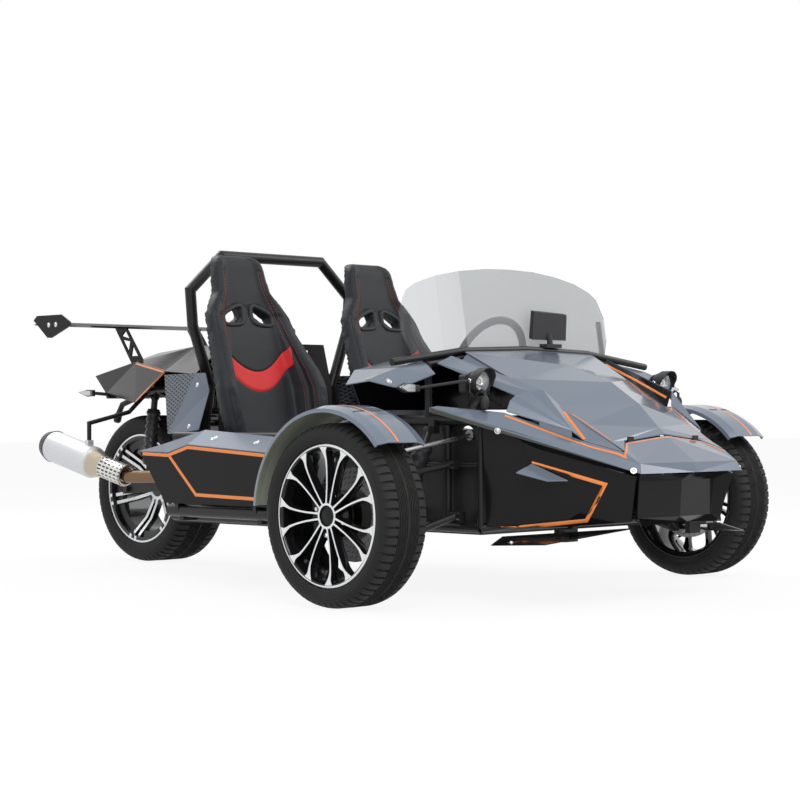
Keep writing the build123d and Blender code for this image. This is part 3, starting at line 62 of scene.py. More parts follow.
# ---------------------------------------------------------------------------
# shader expressions
# ---------------------------------------------------------------------------
class Graph:
    """The node tree of one material or world, with short ways to add nodes."""

    def __init__(self, name: str, world: bool = False) -> None:
        """Starts an empty material.

        Args:
            name: what the material is called.
            world: True starts the surroundings instead.
        """
        self.material = (bpy.data.worlds if world else bpy.data.materials).new(name)
        self.material.use_nodes = True
        self.tree = self.material.node_tree
        self.tree.nodes.clear()
        self.out = self.tree.nodes.new("ShaderNodeOutputWorld" if world else "ShaderNodeOutputMaterial")

    def node(self, kind: str, settings: dict | None = None, inputs: dict | None = None,
             out: int | str = 0) -> "Value":
        """Adds any node.

        Args:
            kind: the node type's name after "ShaderNode".
            settings: attributes that are set first; "stops" fills a colour ramp.
            inputs: values or links by socket name or index.
            out: the output that the result wraps.

        Returns:
            The wrapped output socket.
        """
        node = self.tree.nodes.new("ShaderNode" + kind)
        for key, value in (settings or {}).items():
            if key == "stops":
                self._fill_ramp(node.color_ramp, value)
            else:
                setattr(node, key, value)
        for key, value in (inputs or {}).items():
            self.feed(node.inputs[key], value)
        return Value(self, node.outputs[out])

    @staticmethod
    def _fill_ramp(ramp: bpy.types.ColorRamp, stops: Sequence[tuple[float, Colour]]) -> None:
        """Sets a ramp's stops.

        Args:
            ramp: the colour ramp.
            stops: (position, colour) pairs.
        """
        while len(ramp.elements) < len(stops):
            ramp.elements.new(1.0)
        for element, (position, colour) in zip(ramp.elements, stops):
            element.position = position
            element.color = (*colour, 1.0)

    def feed(self, socket: bpy.types.NodeSocket, value: object) -> None:
        """Links a Value to a socket or sets the socket's constant.

        Args:
            socket: the input socket.
            value: a Value, a colour or a number.
        """
        if isinstance(value, Value):
            self.tree.links.new(value.socket, socket)
        elif isinstance(value, tuple) and len(value) == 3 and len(socket.default_value) == 4:
            socket.default_value = (*value, 1.0)
        else:
            socket.default_value = value

    def position(self) -> "Value":
        """The point in the frame, in metres."""
        return self.node("TexCoord", out="Object")

    def normal(self) -> "Value":
        """The surface normal in the frame."""
        return self.node("NewGeometry", out="Normal")

    def split(self, vector: "Value") -> tuple["Value", "Value", "Value"]:
        """The three components of a vector."""
        parts = self.node("SeparateXYZ", inputs={0: vector}).socket.node
        return tuple(Value(self, parts.outputs[i]) for i in range(3))

    def noise(self, scale: float, detail: float = 2.0, vector: "Value | None" = None) -> "Value":
        """Smooth noise from 0 to 1."""
        inputs = {"Scale": scale, "Detail": detail, "Vector": vector or self.position()}
        return self.node("TexNoise", inputs=inputs)

    def mix(self, factor: "Value | float", low: object, high: object) -> "Value":
        """A colour between low and high."""
        return self.node("Mix", {"data_type": "RGBA"}, {0: factor, 6: low, 7: high}, out=2)

    def mix_value(self, factor: "Value", low: "Value", high: "Value") -> "Value":
        """Blends two numbers."""
        return low + (high - low) * factor

    def step(self, value: "Value", low: float, high: float) -> "Value":
        """0 below low, 1 above high, smooth between."""
        return self.node("MapRange", {"interpolation_type": "SMOOTHSTEP"},
                         {0: value, 1: low, 2: high, 3: 0.0, 4: 1.0})

    def bump(self, height: "Value", distance: float, strength: float = 1.0) -> "Value":
        """A normal from a height of the given depth in metres."""
        return self.node("Bump", inputs={"Height": height, "Distance": distance, "Strength": strength})

    def finish(self, **sockets: object) -> bpy.types.Material:
        """Closes the material with a Principled shader.

        Args:
            sockets: shader inputs by name, with underscores for spaces.

        Returns:
            The material.
        """
        inputs = {key.replace("_", " "): value for key, value in sockets.items()}
        return self.close(self.node("BsdfPrincipled", inputs=inputs))

    def close(self, shader: "Value") -> bpy.types.Material:
        """Links the last shader to the output and returns the material."""
        self.feed(self.out.inputs[0], shader)
        return self.material


class Value:
    """A socket that can be used in Python expressions."""

    def __init__(self, graph: Graph, socket: bpy.types.NodeSocket) -> None:
        """Wraps socket of graph."""
        self.graph = graph
        self.socket = socket

    def _math(self, operation: str, *others: object) -> "Value":
        """Adds one Math node on this value and the others.

        Args:
            operation: what the node works out.
            *others: its further inputs.

        Returns:
            The node's output.
        """
        inputs = {0: self}
        inputs.update({i + 1: other for i, other in enumerate(others)})
        return self.graph.node("Math", {"operation": operation}, inputs)

    def _reflected(self, operation: str, other: float) -> "Value":
        """Adds a Math node with this value on the right."""
        return self.graph.node("Math", {"operation": operation}, {0: other, 1: self})

    def __add__(self, other: object) -> "Value":
        """self + other."""
        return self._math("ADD", other)

    def __radd__(self, other: float) -> "Value":
        """other + self."""
        return self._reflected("ADD", other)

    def __sub__(self, other: object) -> "Value":
        """self - other."""
        return self._math("SUBTRACT", other)

    def __rsub__(self, other: float) -> "Value":
        """other - self."""
        return self._reflected("SUBTRACT", other)

    def __mul__(self, other: object) -> "Value":
        """self * other."""
        return self._math("MULTIPLY", other)

    def __rmul__(self, other: float) -> "Value":
        """other * self."""
        return self._reflected("MULTIPLY", other)

    def __truediv__(self, other: object) -> "Value":
        """self / other."""
        return self._math("DIVIDE", other)

    def __rtruediv__(self, other: float) -> "Value":
        """other / self."""
        return self._reflected("DIVIDE", other)

    def __pow__(self, other: object) -> "Value":
        """self ** other."""
        return self._math("POWER", other)

    def __mod__(self, other: object) -> "Value":
        """self % other, floored."""
        return self._math("FLOORED_MODULO", other)

    def __lt__(self, other: object) -> "Value":
        """1 where self is less than other."""
        return self._math("LESS_THAN", other)

    def __gt__(self, other: object) -> "Value":
        """1 where self is greater than other."""
        return self._math("GREATER_THAN", other)

    def __abs__(self) -> "Value":
        """The absolute value."""
        return self._math("ABSOLUTE")

    def sin(self) -> "Value":
        """The sine of an angle in radians."""
        return self._math("SINE")

    def root(self) -> "Value":
        """The square root."""
        return self._math("SQRT")

    def atan2(self, other: object) -> "Value":
        """The angle of (other, self)."""
        return self._math("ARCTAN2", other)

    def lowest(self, other: object) -> "Value":
        """The smaller of two values."""
        return self._math("MINIMUM", other)

    def highest(self, other: object) -> "Value":
        """The larger of two values."""
        return self._math("MAXIMUM", other)


# ---------------------------------------------------------------------------
# finishes
# ---------------------------------------------------------------------------
class Outward(Enum):
    """Which way the painted face of a panel looks."""

    UP = "up"
    SIDE = "side"
    FRONT = "front"
    WHEEL = "away from the front axle"
    ALL = "all"


def facing(graph: Graph, outward: Outward) -> Value | float:
    """A mask that is 1 on the painted face.

    Args:
        graph: the material under construction.
        outward: the way the painted face looks.

    Returns:
        A mask, or the number 1 where every face is painted.
    """
    nx, ny, nz = graph.split(graph.normal())
    px, py, pz = graph.split(graph.position())
    if outward is Outward.WHEEL:
        return ny * (py - FRONT_AXLE_Y) + nz * (pz - 0.262) > -0.02
    if outward is Outward.UP:
        return nz > -0.05
    if outward is Outward.SIDE:
        return (nx * px > -0.02).highest(nz > 0.3)
    if outward is Outward.FRONT:
        return (ny < 0.15).highest(nz > 0.4)
    return 1.0


@dataclass(frozen=True)
class Enamel:
    """Sprayed gloss coat over moulded panels, raw moulding on the inside."""

    name: str
    colour: Colour
    outward: Outward = Outward.UP
    raw: Colour = (0.060, 0.064, 0.058)
    flake: float = 0.05
    rough: float = 0.16
    coat: float = 0.28
    shine: float = 0.28
    flanks: Colour | None = None

    def build(self) -> bpy.types.Material:
        """Makes the material.

        Returns:
            The new material.
        """
        g = Graph(self.name)
        mask = facing(g, self.outward)
        flakes = g.noise(2600.0, 1.0)
        cloud = g.noise(2.5, 2.0)
        shade = flakes * 0.7 + cloud * 0.3
        top = g.mix(shade, tuple(c * (1.0 - self.flake) for c in self.colour),
                    tuple(min(1.0, c * (1.0 + self.flake)) for c in self.colour))
        if self.flanks:
            px, _, _ = g.split(g.position())
            nx, _, _ = g.split(g.normal())
            top = g.mix(nx * px > 0.0, top, self.flanks)
        weave = g.noise(420.0, 2.0)
        inside = g.mix(weave, tuple(c * 0.8 for c in self.raw), tuple(c * 1.2 for c in self.raw))
        dust = g.step(g.noise(9.0, 5.0), 0.55, 0.9)
        rough = self.rough + dust * 0.04 + (1.0 - mask) * 0.38
        peel = g.noise(190.0, 1.0) * mask * 0.2 + weave * (1.0 - mask)
        return g.finish(Base_Color=g.mix(mask, inside, top), Roughness=rough, Coat_Weight=mask * self.coat,
                        Coat_Roughness=0.03, Specular_IOR_Level=self.shine, Metallic=mask * 0.1,
                        Normal=g.bump(peel, 0.0003))


@dataclass(frozen=True)
class PowderCoat:
    """Baked coat on tube and plate, with a fine orange peel."""

    name: str
    colour: Colour
    rough: float = 0.34
    grain: float = 900.0

    def build(self) -> bpy.types.Material:
        """Makes the material.

        Returns:
            The new material.
        """
        g = Graph(self.name)
        speck = g.noise(self.grain, 2.0)
        film = g.noise(14.0, 4.0)
        base = g.mix(film, tuple(c * 0.75 for c in self.colour), tuple(c * 1.35 for c in self.colour))
        rough = self.rough - 0.08 + g.noise(40.0, 3.0) * 0.16
        return g.finish(Base_Color=base, Roughness=rough, Specular_IOR_Level=0.3, Normal=g.bump(speck, 0.00025))


@dataclass(frozen=True)
class Plastic:
    """Moulded plastic with a leather-like grain."""

    name: str
    colour: Colour
    rough: float = 0.45

    def build(self) -> bpy.types.Material:
        """Makes the material.

        Returns:
            The new material.
        """
        g = Graph(self.name)
        cells = g.node("TexVoronoi", {"feature": "DISTANCE_TO_EDGE"}, {"Vector": g.position(), "Scale": 700.0})
        grain = g.step(cells, 0.02, 0.25)
        haze = g.noise(18.0, 3.0)
        base = g.mix(haze, tuple(c * 0.8 for c in self.colour), tuple(c * 1.25 for c in self.colour))
        return g.finish(Base_Color=base, Roughness=self.rough + haze * 0.12, Specular_IOR_Level=0.3,
                        Normal=g.bump(grain, 0.00012, 0.6))


@dataclass(frozen=True)
class Metal:
    """Turned, brushed or cast metal."""

    name: str
    colour: Colour
    rough: float = 0.3
    brush: tuple[float, float, float] = (900.0, 12.0, 12.0)
    stain: Colour = (0.28, 0.24, 0.2)
    stain_share: float = 0.25

    def build(self) -> bpy.types.Material:
        """Makes the material.

        Returns:
            The new material.
        """
        g = Graph(self.name)
        stretch = g.node("VectorMath", {"operation": "MULTIPLY"}, {0: g.position(), 1: self.brush})
        lines = g.noise(1.0, 4.0, stretch)
        patch = g.step(g.noise(16.0, 4.0), 0.5, 0.85) * self.stain_share
        base = g.mix(patch, g.mix(lines, tuple(c * 0.82 for c in self.colour), self.colour), self.stain)
        rough = self.rough - 0.1 + lines * 0.2 + patch * 0.3
        return g.finish(Base_Color=base, Roughness=rough, Metallic=1.0 - patch * 0.5,
                        Normal=g.bump(lines, 0.0002, 0.5))


@dataclass(frozen=True)
class Silencer:
    """Silencer: black end cap, satin can, heat-tinted cone and pipe."""

    name: str
    rear: Point = (-0.360, 1.3075, 0.440)
    tilt: float = 13.0

    def build(self) -> bpy.types.Material:
        """Makes the material.

        Returns:
            The new material.
        """
        g = Graph(self.name)
        _, py, pz = g.split(g.position())
        slope = math.radians(self.tilt)
        ahead = (py - self.rear[1]) * -math.cos(slope) + (pz - self.rear[2]) * -math.sin(slope)
        cap = ahead < 0.036
        heat = g.step(ahead, 0.285, 0.30)
        far = g.step(ahead + g.noise(22.0, 3.0) * 0.06, 0.40, 0.52)
        brush = g.noise(1.0, 4.0, g.node("VectorMath", {"operation": "MULTIPLY"},
                                         {0: g.position(), 1: (40.0, 900.0, 40.0)}))
        satin = g.mix(brush, (0.60, 0.61, 0.64), (0.70, 0.71, 0.74))
        warm = g.mix(brush, (0.46, 0.39, 0.29), (0.56, 0.50, 0.41))
        base = g.mix(heat, satin, g.mix(far, warm, (0.20, 0.13, 0.08)))
        base = g.mix(cap, base, (0.012, 0.012, 0.013))
        metal = (1.0 - cap) * (0.55 + heat * 0.4)
        return g.finish(Base_Color=base, Metallic=metal, Roughness=0.38 - heat * 0.1 + brush * 0.1,
                        Normal=g.bump(brush, 0.0001, 0.4))


def expanded_mesh(g: Graph, slot: float = 0.032, row: float = 0.0145) -> Value:
    """Staggered slots on the flanks of the tail.

    Args:
        g: the material under construction.
        slot: the length of a slot and its web.
        row: the height of a row.

    Returns:
        0 in the middle of a slot, rising to about 0.5 on the webs.
    """
    px, py, pz = g.split(g.position())
    rows = (pz - abs(px) * 0.2) * (1.0 / row)
    columns = (py + abs(px) * 0.5) * (1.0 / slot)
    first = abs(rows % 1.0 - 0.5) + abs(columns % 1.0 - 0.5) * 0.95
    second = abs((rows + 0.5) % 1.0 - 0.5) + abs((columns + 0.5) % 1.0 - 0.5) * 0.95
    return first.lowest(second)


@dataclass(frozen=True)
class TailShell:
    """Gloss black shell with painted quarter panels."""

    name: str
    body: Colour
    quarter: Colour
    quarter_from: float = 0.385

    def build(self) -> bpy.types.Material:
        """Makes the material.

        Returns:
            The new material.
        """
        g = Graph(self.name)
        px, _, _ = g.split(g.position())
        side = abs(px) > self.quarter_from
        cloud = g.noise(3.0, 3.0)
        black = g.mix(cloud, tuple(c * 0.8 for c in self.body), tuple(c * 1.3 for c in self.body))
        base = g.mix(side, black, g.mix(cloud, tuple(c * 0.94 for c in self.quarter), self.quarter))
        return g.finish(Base_Color=base, Roughness=0.16 + cloud * 0.08, Coat_Weight=side * 0.2,
                        Specular_IOR_Level=0.12, Normal=g.bump(g.noise(190.0, 1.0), 0.00006))


@dataclass(frozen=True)
class Grille:
    """Black plate; the side panels are expanded mesh whose slots are painted near-black as painted shade."""

    name: str
    sides_from: float = 0.30

    def build(self) -> bpy.types.Material:
        """Makes the material.

        Returns:
            The new material.
        """
        g = Graph(self.name)
        px, _, _ = g.split(g.position())
        edge = expanded_mesh(g)
        side = abs(px) > self.sides_from
        grain = g.noise(500.0, 2.0)
        base = g.mix(grain, (0.014, 0.014, 0.016), (0.028, 0.028, 0.031))
        # painted shade: the mesh slots are coloured near-black and the webs are lighter
        base = g.mix(side, base, g.mix(edge > 0.30, (0.003, 0.003, 0.003), (0.120, 0.142, 0.175)))
        ridge = g.step(edge, 0.26, 0.36) * side
        return g.finish(Base_Color=base, Roughness=0.42 + grain * 0.1, Specular_IOR_Level=0.3,
                        Normal=g.bump(grain * 0.1 + ridge, 0.0012))


@dataclass(frozen=True)
class HeatShield:
    """Pressed steel cover with rows of slots cut through it, the slots painted near-black as painted shade."""

    name: str
    rear: Point
    tilt: float

    def build(self) -> bpy.types.Material:
        """Makes the material.

        Returns:
            The new material.
        """
        g = Graph(self.name)
        px, py, pz = g.split(g.position())
        slope = math.radians(self.tilt)
        ahead = (py - self.rear[1]) * -math.cos(slope) + (pz - self.rear[2]) * -math.sin(slope)
        rise = (py - self.rear[1]) * -math.sin(slope) + (pz - self.rear[2]) * math.cos(slope)
        around = (px - self.rear[0]).atan2(rise)
        band = abs((around * (9.0 / math.pi)) % 1.0 - 0.5) < 0.22
        cut = (abs((ahead * 42.0) % 1.0 - 0.5) < 0.33) * band
        lines = g.noise(60.0, 4.0)
        base = g.mix(lines, (0.62, 0.60, 0.57), (0.80, 0.79, 0.77))
        # painted shade: the cut-through slots are coloured near-black
        base = g.mix(cut, base, (0.02, 0.018, 0.016))
        return g.finish(Base_Color=base, Metallic=(1.0 - cut) * 0.85, Roughness=0.28 + lines * 0.12,
                        Normal=g.bump(1.0 - cut, 0.0012))


@dataclass(frozen=True)
class Rubber:
    """Tyre rubber: lighter tread, darker sidewall with fine moulded lines."""

    name: str
    centre: tuple[float, float]
    radius: float

    def build(self) -> bpy.types.Material:
        """Makes the material.

        Returns:
            The new material.
        """
        g = Graph(self.name)
        _, py, pz = g.split(g.position())
        dy, dz = py - self.centre[0], pz - self.centre[1]
        reach = (dy * dy + dz * dz).root()
        tread = g.step(reach, self.radius - 0.012, self.radius - 0.002)
        side = 1.0 - g.step(reach, self.radius - 0.03, self.radius - 0.02)
        rings = (reach * 1250.0).sin() * g.step(reach, 0.208, 0.212) * (1.0 - g.step(reach, 0.214, 0.22))
        hatch = (dy.atan2(dz) * 260.0).sin() * g.step(reach, 0.222, 0.224) * (1.0 - g.step(reach, 0.234, 0.236))
        dust = g.noise(30.0, 5.0)
        base = g.mix(tread * 0.5 + dust * 0.3, (0.009, 0.009, 0.0095), (0.030, 0.030, 0.029))
        fine = g.noise(800.0, 2.0) * 0.3 + rings * side + hatch * side * 0.7
        return g.finish(Base_Color=base, Roughness=0.5 + dust * 0.2 + tread * 0.12, Specular_IOR_Level=0.22,
                        Normal=g.bump(fine, 0.0005))


@dataclass(frozen=True)
class WheelFace:
    """Cast wheel: black coat with machined lines along the spokes and the lip.

    The spokes stand in pairs. Root, bend and tip give the middle line of one spoke as its distance
    from the pair's own middle line and its distance from the axle along that line.
    """

    name: str
    centre: tuple[float, float]
    side: float
    pairs: int
    turn: float
    root: tuple[float, float]
    bend: tuple[float, float]
    tip: tuple[float, float]
    half: float
    flare: float
    hub: tuple[float, float]
    lip: float = 0.1935

    def build(self) -> bpy.types.Material:
        """Makes the material.

        Returns:
            The new material.
        """
        g = Graph(self.name)
        _, py, pz = g.split(g.position())
        nx, _, _ = g.split(g.normal())
        dy, dz = py - self.centre[0], pz - self.centre[1]
        reach = (dy * dy + dz * dz).root()
        step = 2.0 * math.pi / self.pairs
        bearing = dy.atan2(dz) + math.radians(self.turn)
        off = abs((bearing + 4.0 * math.pi + step / 2.0) % step - step / 2.0)
        across = off.sin() * reach
        along = (off + math.pi / 2.0).sin() * reach
        inner = self._off_line(across, along, self.root, self.bend)
        outer = self._off_line(across, along, self.bend, self.tip)
        run = self._past_bend(across, along)
        past = run > 0.0
        off_line = g.mix_value(past, inner, outer)
        width = self.half + run.highest(0.0) * self.flare
        spoke = (width - off_line > 0.0) * (reach > self.hub[1] - 0.002)
        ring = (reach > self.hub[0]) * (reach < self.hub[1])
        machined = (nx * self.side > 0.7) * spoke.highest(ring).highest(reach > self.lip)
        turned = (reach * 9000.0).sin()
        silver = g.mix(turned * 0.5 + 0.5, (0.66, 0.67, 0.69), (0.80, 0.81, 0.83))
        coat = g.mix(g.noise(20.0, 3.0), (0.005, 0.005, 0.006), (0.011, 0.011, 0.012))
        rough = 0.14 + machined * 0.16 + g.noise(60.0, 3.0) * 0.06
        return g.finish(Base_Color=g.mix(machined, coat, silver), Metallic=machined * 0.85, Roughness=rough,
                        Coat_Weight=(1.0 - machined) * 0.25, Specular_IOR_Level=0.3,
                        Normal=g.bump(turned * machined, 0.00003))

    @staticmethod
    def _off_line(across: Value, along: Value, a: tuple[float, float], b: tuple[float, float]) -> Value:
        """Distance of a place from the line through a and b.

        Args:
            across: the place, across the spokes' middle line.
            along: the place, along it.
            a: a point of the line, as (across, along).
            b: another point of the line.

        Returns:
            The distance.
        """
        du, dv = b[0] - a[0], b[1] - a[1]
        size = math.hypot(du, dv)
        return abs((across - a[0]) * (dv / size) - (along - a[1]) * (du / size))

    def _past_bend(self, across: Value, along: Value) -> Value:
        """How far a place lies beyond the spoke's bend.

        Args:
            across: the place, across the spokes' middle line.
            along: the place, along it.

        Returns:
            The distance, below 0 on the inner stretch.
        """
        du, dv = self.tip[0] - self.bend[0], self.tip[1] - self.bend[1]
        size = math.hypot(du, dv)
        return (across - self.bend[0]) * (du / size) + (along - self.bend[1]) * (dv / size)


@dataclass(frozen=True)
class Disc:
    """Brake disc and hub: ground ring with circular marks and holes painted black as painted shade, duller hub."""

    name: str
    centre: tuple[float, float]

    def build(self) -> bpy.types.Material:
        """Makes the material.

        Returns:
            The new material.
        """
        g = Graph(self.name)
        _, py, pz = g.split(g.position())
        dy, dz = py - self.centre[0], pz - self.centre[1]
        reach = (dy * dy + dz * dz).root()
        marks = (reach * 7000.0).sin() * 0.5 + 0.5
        ring = g.step(reach, 0.076, 0.079)
        bearing = dy.atan2(dz)
        row = abs((bearing * (36.0 / (2.0 * math.pi)) + reach * 90.0) % 1.0 - 0.5)
        holes = (row < 0.1) * ring * (abs((reach * 70.0) % 1.0 - 0.5) < 0.22)
        base = g.mix(ring, (0.2, 0.19, 0.18), (0.55, 0.55, 0.56))
        # painted shade: the drilled holes are coloured black
        base = g.mix(holes, base, (0.01, 0.01, 0.01))
        return g.finish(Base_Color=base, Metallic=1.0 - holes, Roughness=0.3 + marks * 0.12,
                        Normal=g.bump(marks * ring - holes, 0.0003))


@dataclass(frozen=True)
class ClearSheet:
    """Clear moulded sheet: a grey veil with a clean gloss."""

    name: str
    tint: Colour
    veil: float
    rough: float = 0.04
    through: Colour = (0.87, 0.88, 0.88)

    def build(self) -> bpy.types.Material:
        """Makes the material.

        Returns:
            The new material.
        """
        g = Graph(self.name)
        smear = g.noise(7.0, 4.0)
        clear = g.node("BsdfTransparent", inputs={0: self.through})
        gloss = g.node("BsdfPrincipled", inputs={
            "Base Color": g.mix(smear, tuple(c * 0.94 for c in self.tint), self.tint),
            "Roughness": self.rough + g.step(smear, 0.5, 0.8) * 0.06,
            "Normal": g.bump(g.noise(3.0, 1.0), 0.002, 0.2)})
        fresnel = g.node("Fresnel", inputs={"IOR": 1.45})
        factor = (fresnel * 0.6 + self.veil).lowest(1.0)
        return g.close(g.node("MixShader", inputs={0: factor, 1: clear, 2: gloss}))


@dataclass(frozen=True)
class Lens:
    """Moulded lamp lens with fluting; the flutes' grooves are painted darker as painted shade."""

    name: str
    colour: Colour

    def build(self) -> bpy.types.Material:
        """Makes the material.

        Returns:
            The new material.
        """
        g = Graph(self.name)
        px, _, pz = g.split(g.position())
        flutes = ((px * 900.0).sin() * 0.5 + 0.5) * ((pz * 260.0).sin() * 0.3 + 0.7)
        # painted shade: the flutes' grooves are darkened in the colour
        base = g.mix(flutes, tuple(c * 0.55 for c in self.colour), self.colour)
        return g.finish(Base_Color=base, Roughness=0.08 + flutes * 0.08, Metallic=0.55, Coat_Weight=1.0,
                        Normal=g.bump(flutes, 0.0012, 0.8))


@dataclass(frozen=True)
class Leather:
    """Seat cover: pebbled leather with a coloured chevron, both mottled at random."""

    name: str
    seat_x: float
    colour: Colour = (0.0135, 0.0155, 0.0185)
    accent: Colour = (0.72, 0.035, 0.035)
    low_edge: tuple[float, float] = CHEVRON[0]
    high_edge: tuple[float, float] = CHEVRON[1]
    front: float = 0.2325

    def build(self) -> bpy.types.Material:
        """Makes the material.

        Returns:
            The new material.
        """
        g = Graph(self.name)
        px, py, pz = g.split(g.position())
        cells = g.node("TexVoronoi", {"feature": "DISTANCE_TO_EDGE"}, {"Vector": g.position(), "Scale": 420.0})
        pebble = g.step(cells, 0.0, 0.3)
        crease = g.noise(34.0, 4.0)
        wear = g.noise(7.0, 3.0)
        hide = g.mix(wear, tuple(c * 0.75 for c in self.colour), tuple(c * 1.5 for c in self.colour))
        across = abs(abs(px) - self.seat_x)
        lower = across * across * self.low_edge[1] + self.low_edge[0]
        upper = across * across * self.high_edge[1] + self.high_edge[0]
        band = (pz > lower) * (pz < upper) * (across < CHEVRON_REACH) * (py < self.front)
        red = g.mix(wear, tuple(c * 0.8 for c in self.accent), self.accent)
        skin = pebble * 0.5 + crease * 0.5
        return g.finish(Base_Color=g.mix(band, hide, red), Roughness=0.36 + wear * 0.16, Specular_IOR_Level=0.22,
                        Normal=g.bump(skin, 0.0005, 0.7))


@dataclass(frozen=True)
class Plain:
    """Small fittings: one coat with a slight mottling."""

    name: str
    colour: Colour
    rough: float = 0.4
    metal: float = 0.0

    def build(self) -> bpy.types.Material:
        """Makes the material.

        Returns:
            The new material.
        """
        g = Graph(self.name)
        mottle = g.noise(120.0, 3.0)
        base = g.mix(mottle, tuple(c * 0.85 for c in self.colour), tuple(min(1.0, c * 1.12) for c in self.colour))
        return g.finish(Base_Color=base, Roughness=self.rough - 0.05 + mottle * 0.1, Metallic=self.metal,
                        Normal=g.bump(mottle, 0.00015))


# ---------------------------------------------------------------------------
# mesh work
# ---------------------------------------------------------------------------
def at(x: float, y: float, z: float) -> Vector:
    """A point given from the middle of the front axle's ground line."""
    return Vector((x, y + FRONT_AXLE_Y, z))


def mirrored(points: Iterable[Vector]) -> list[Vector]:
    """The points on the other side of the car."""
    return [Vector((-p.x, p.y, p.z)) for p in points]


def square_to(axis: Vector) -> tuple[Vector, Vector]:
    """Two unit vectors square to axis and to each other.

    Args:
        axis: a unit vector.

    Returns:
        The two vectors.
    """
    across = axis.cross(Vector((0, 0, 1)))
    if across.length < 0.01:
        across = Vector((1, 0, 0))
    across.normalize()
    return across, across.cross(axis).normalized()


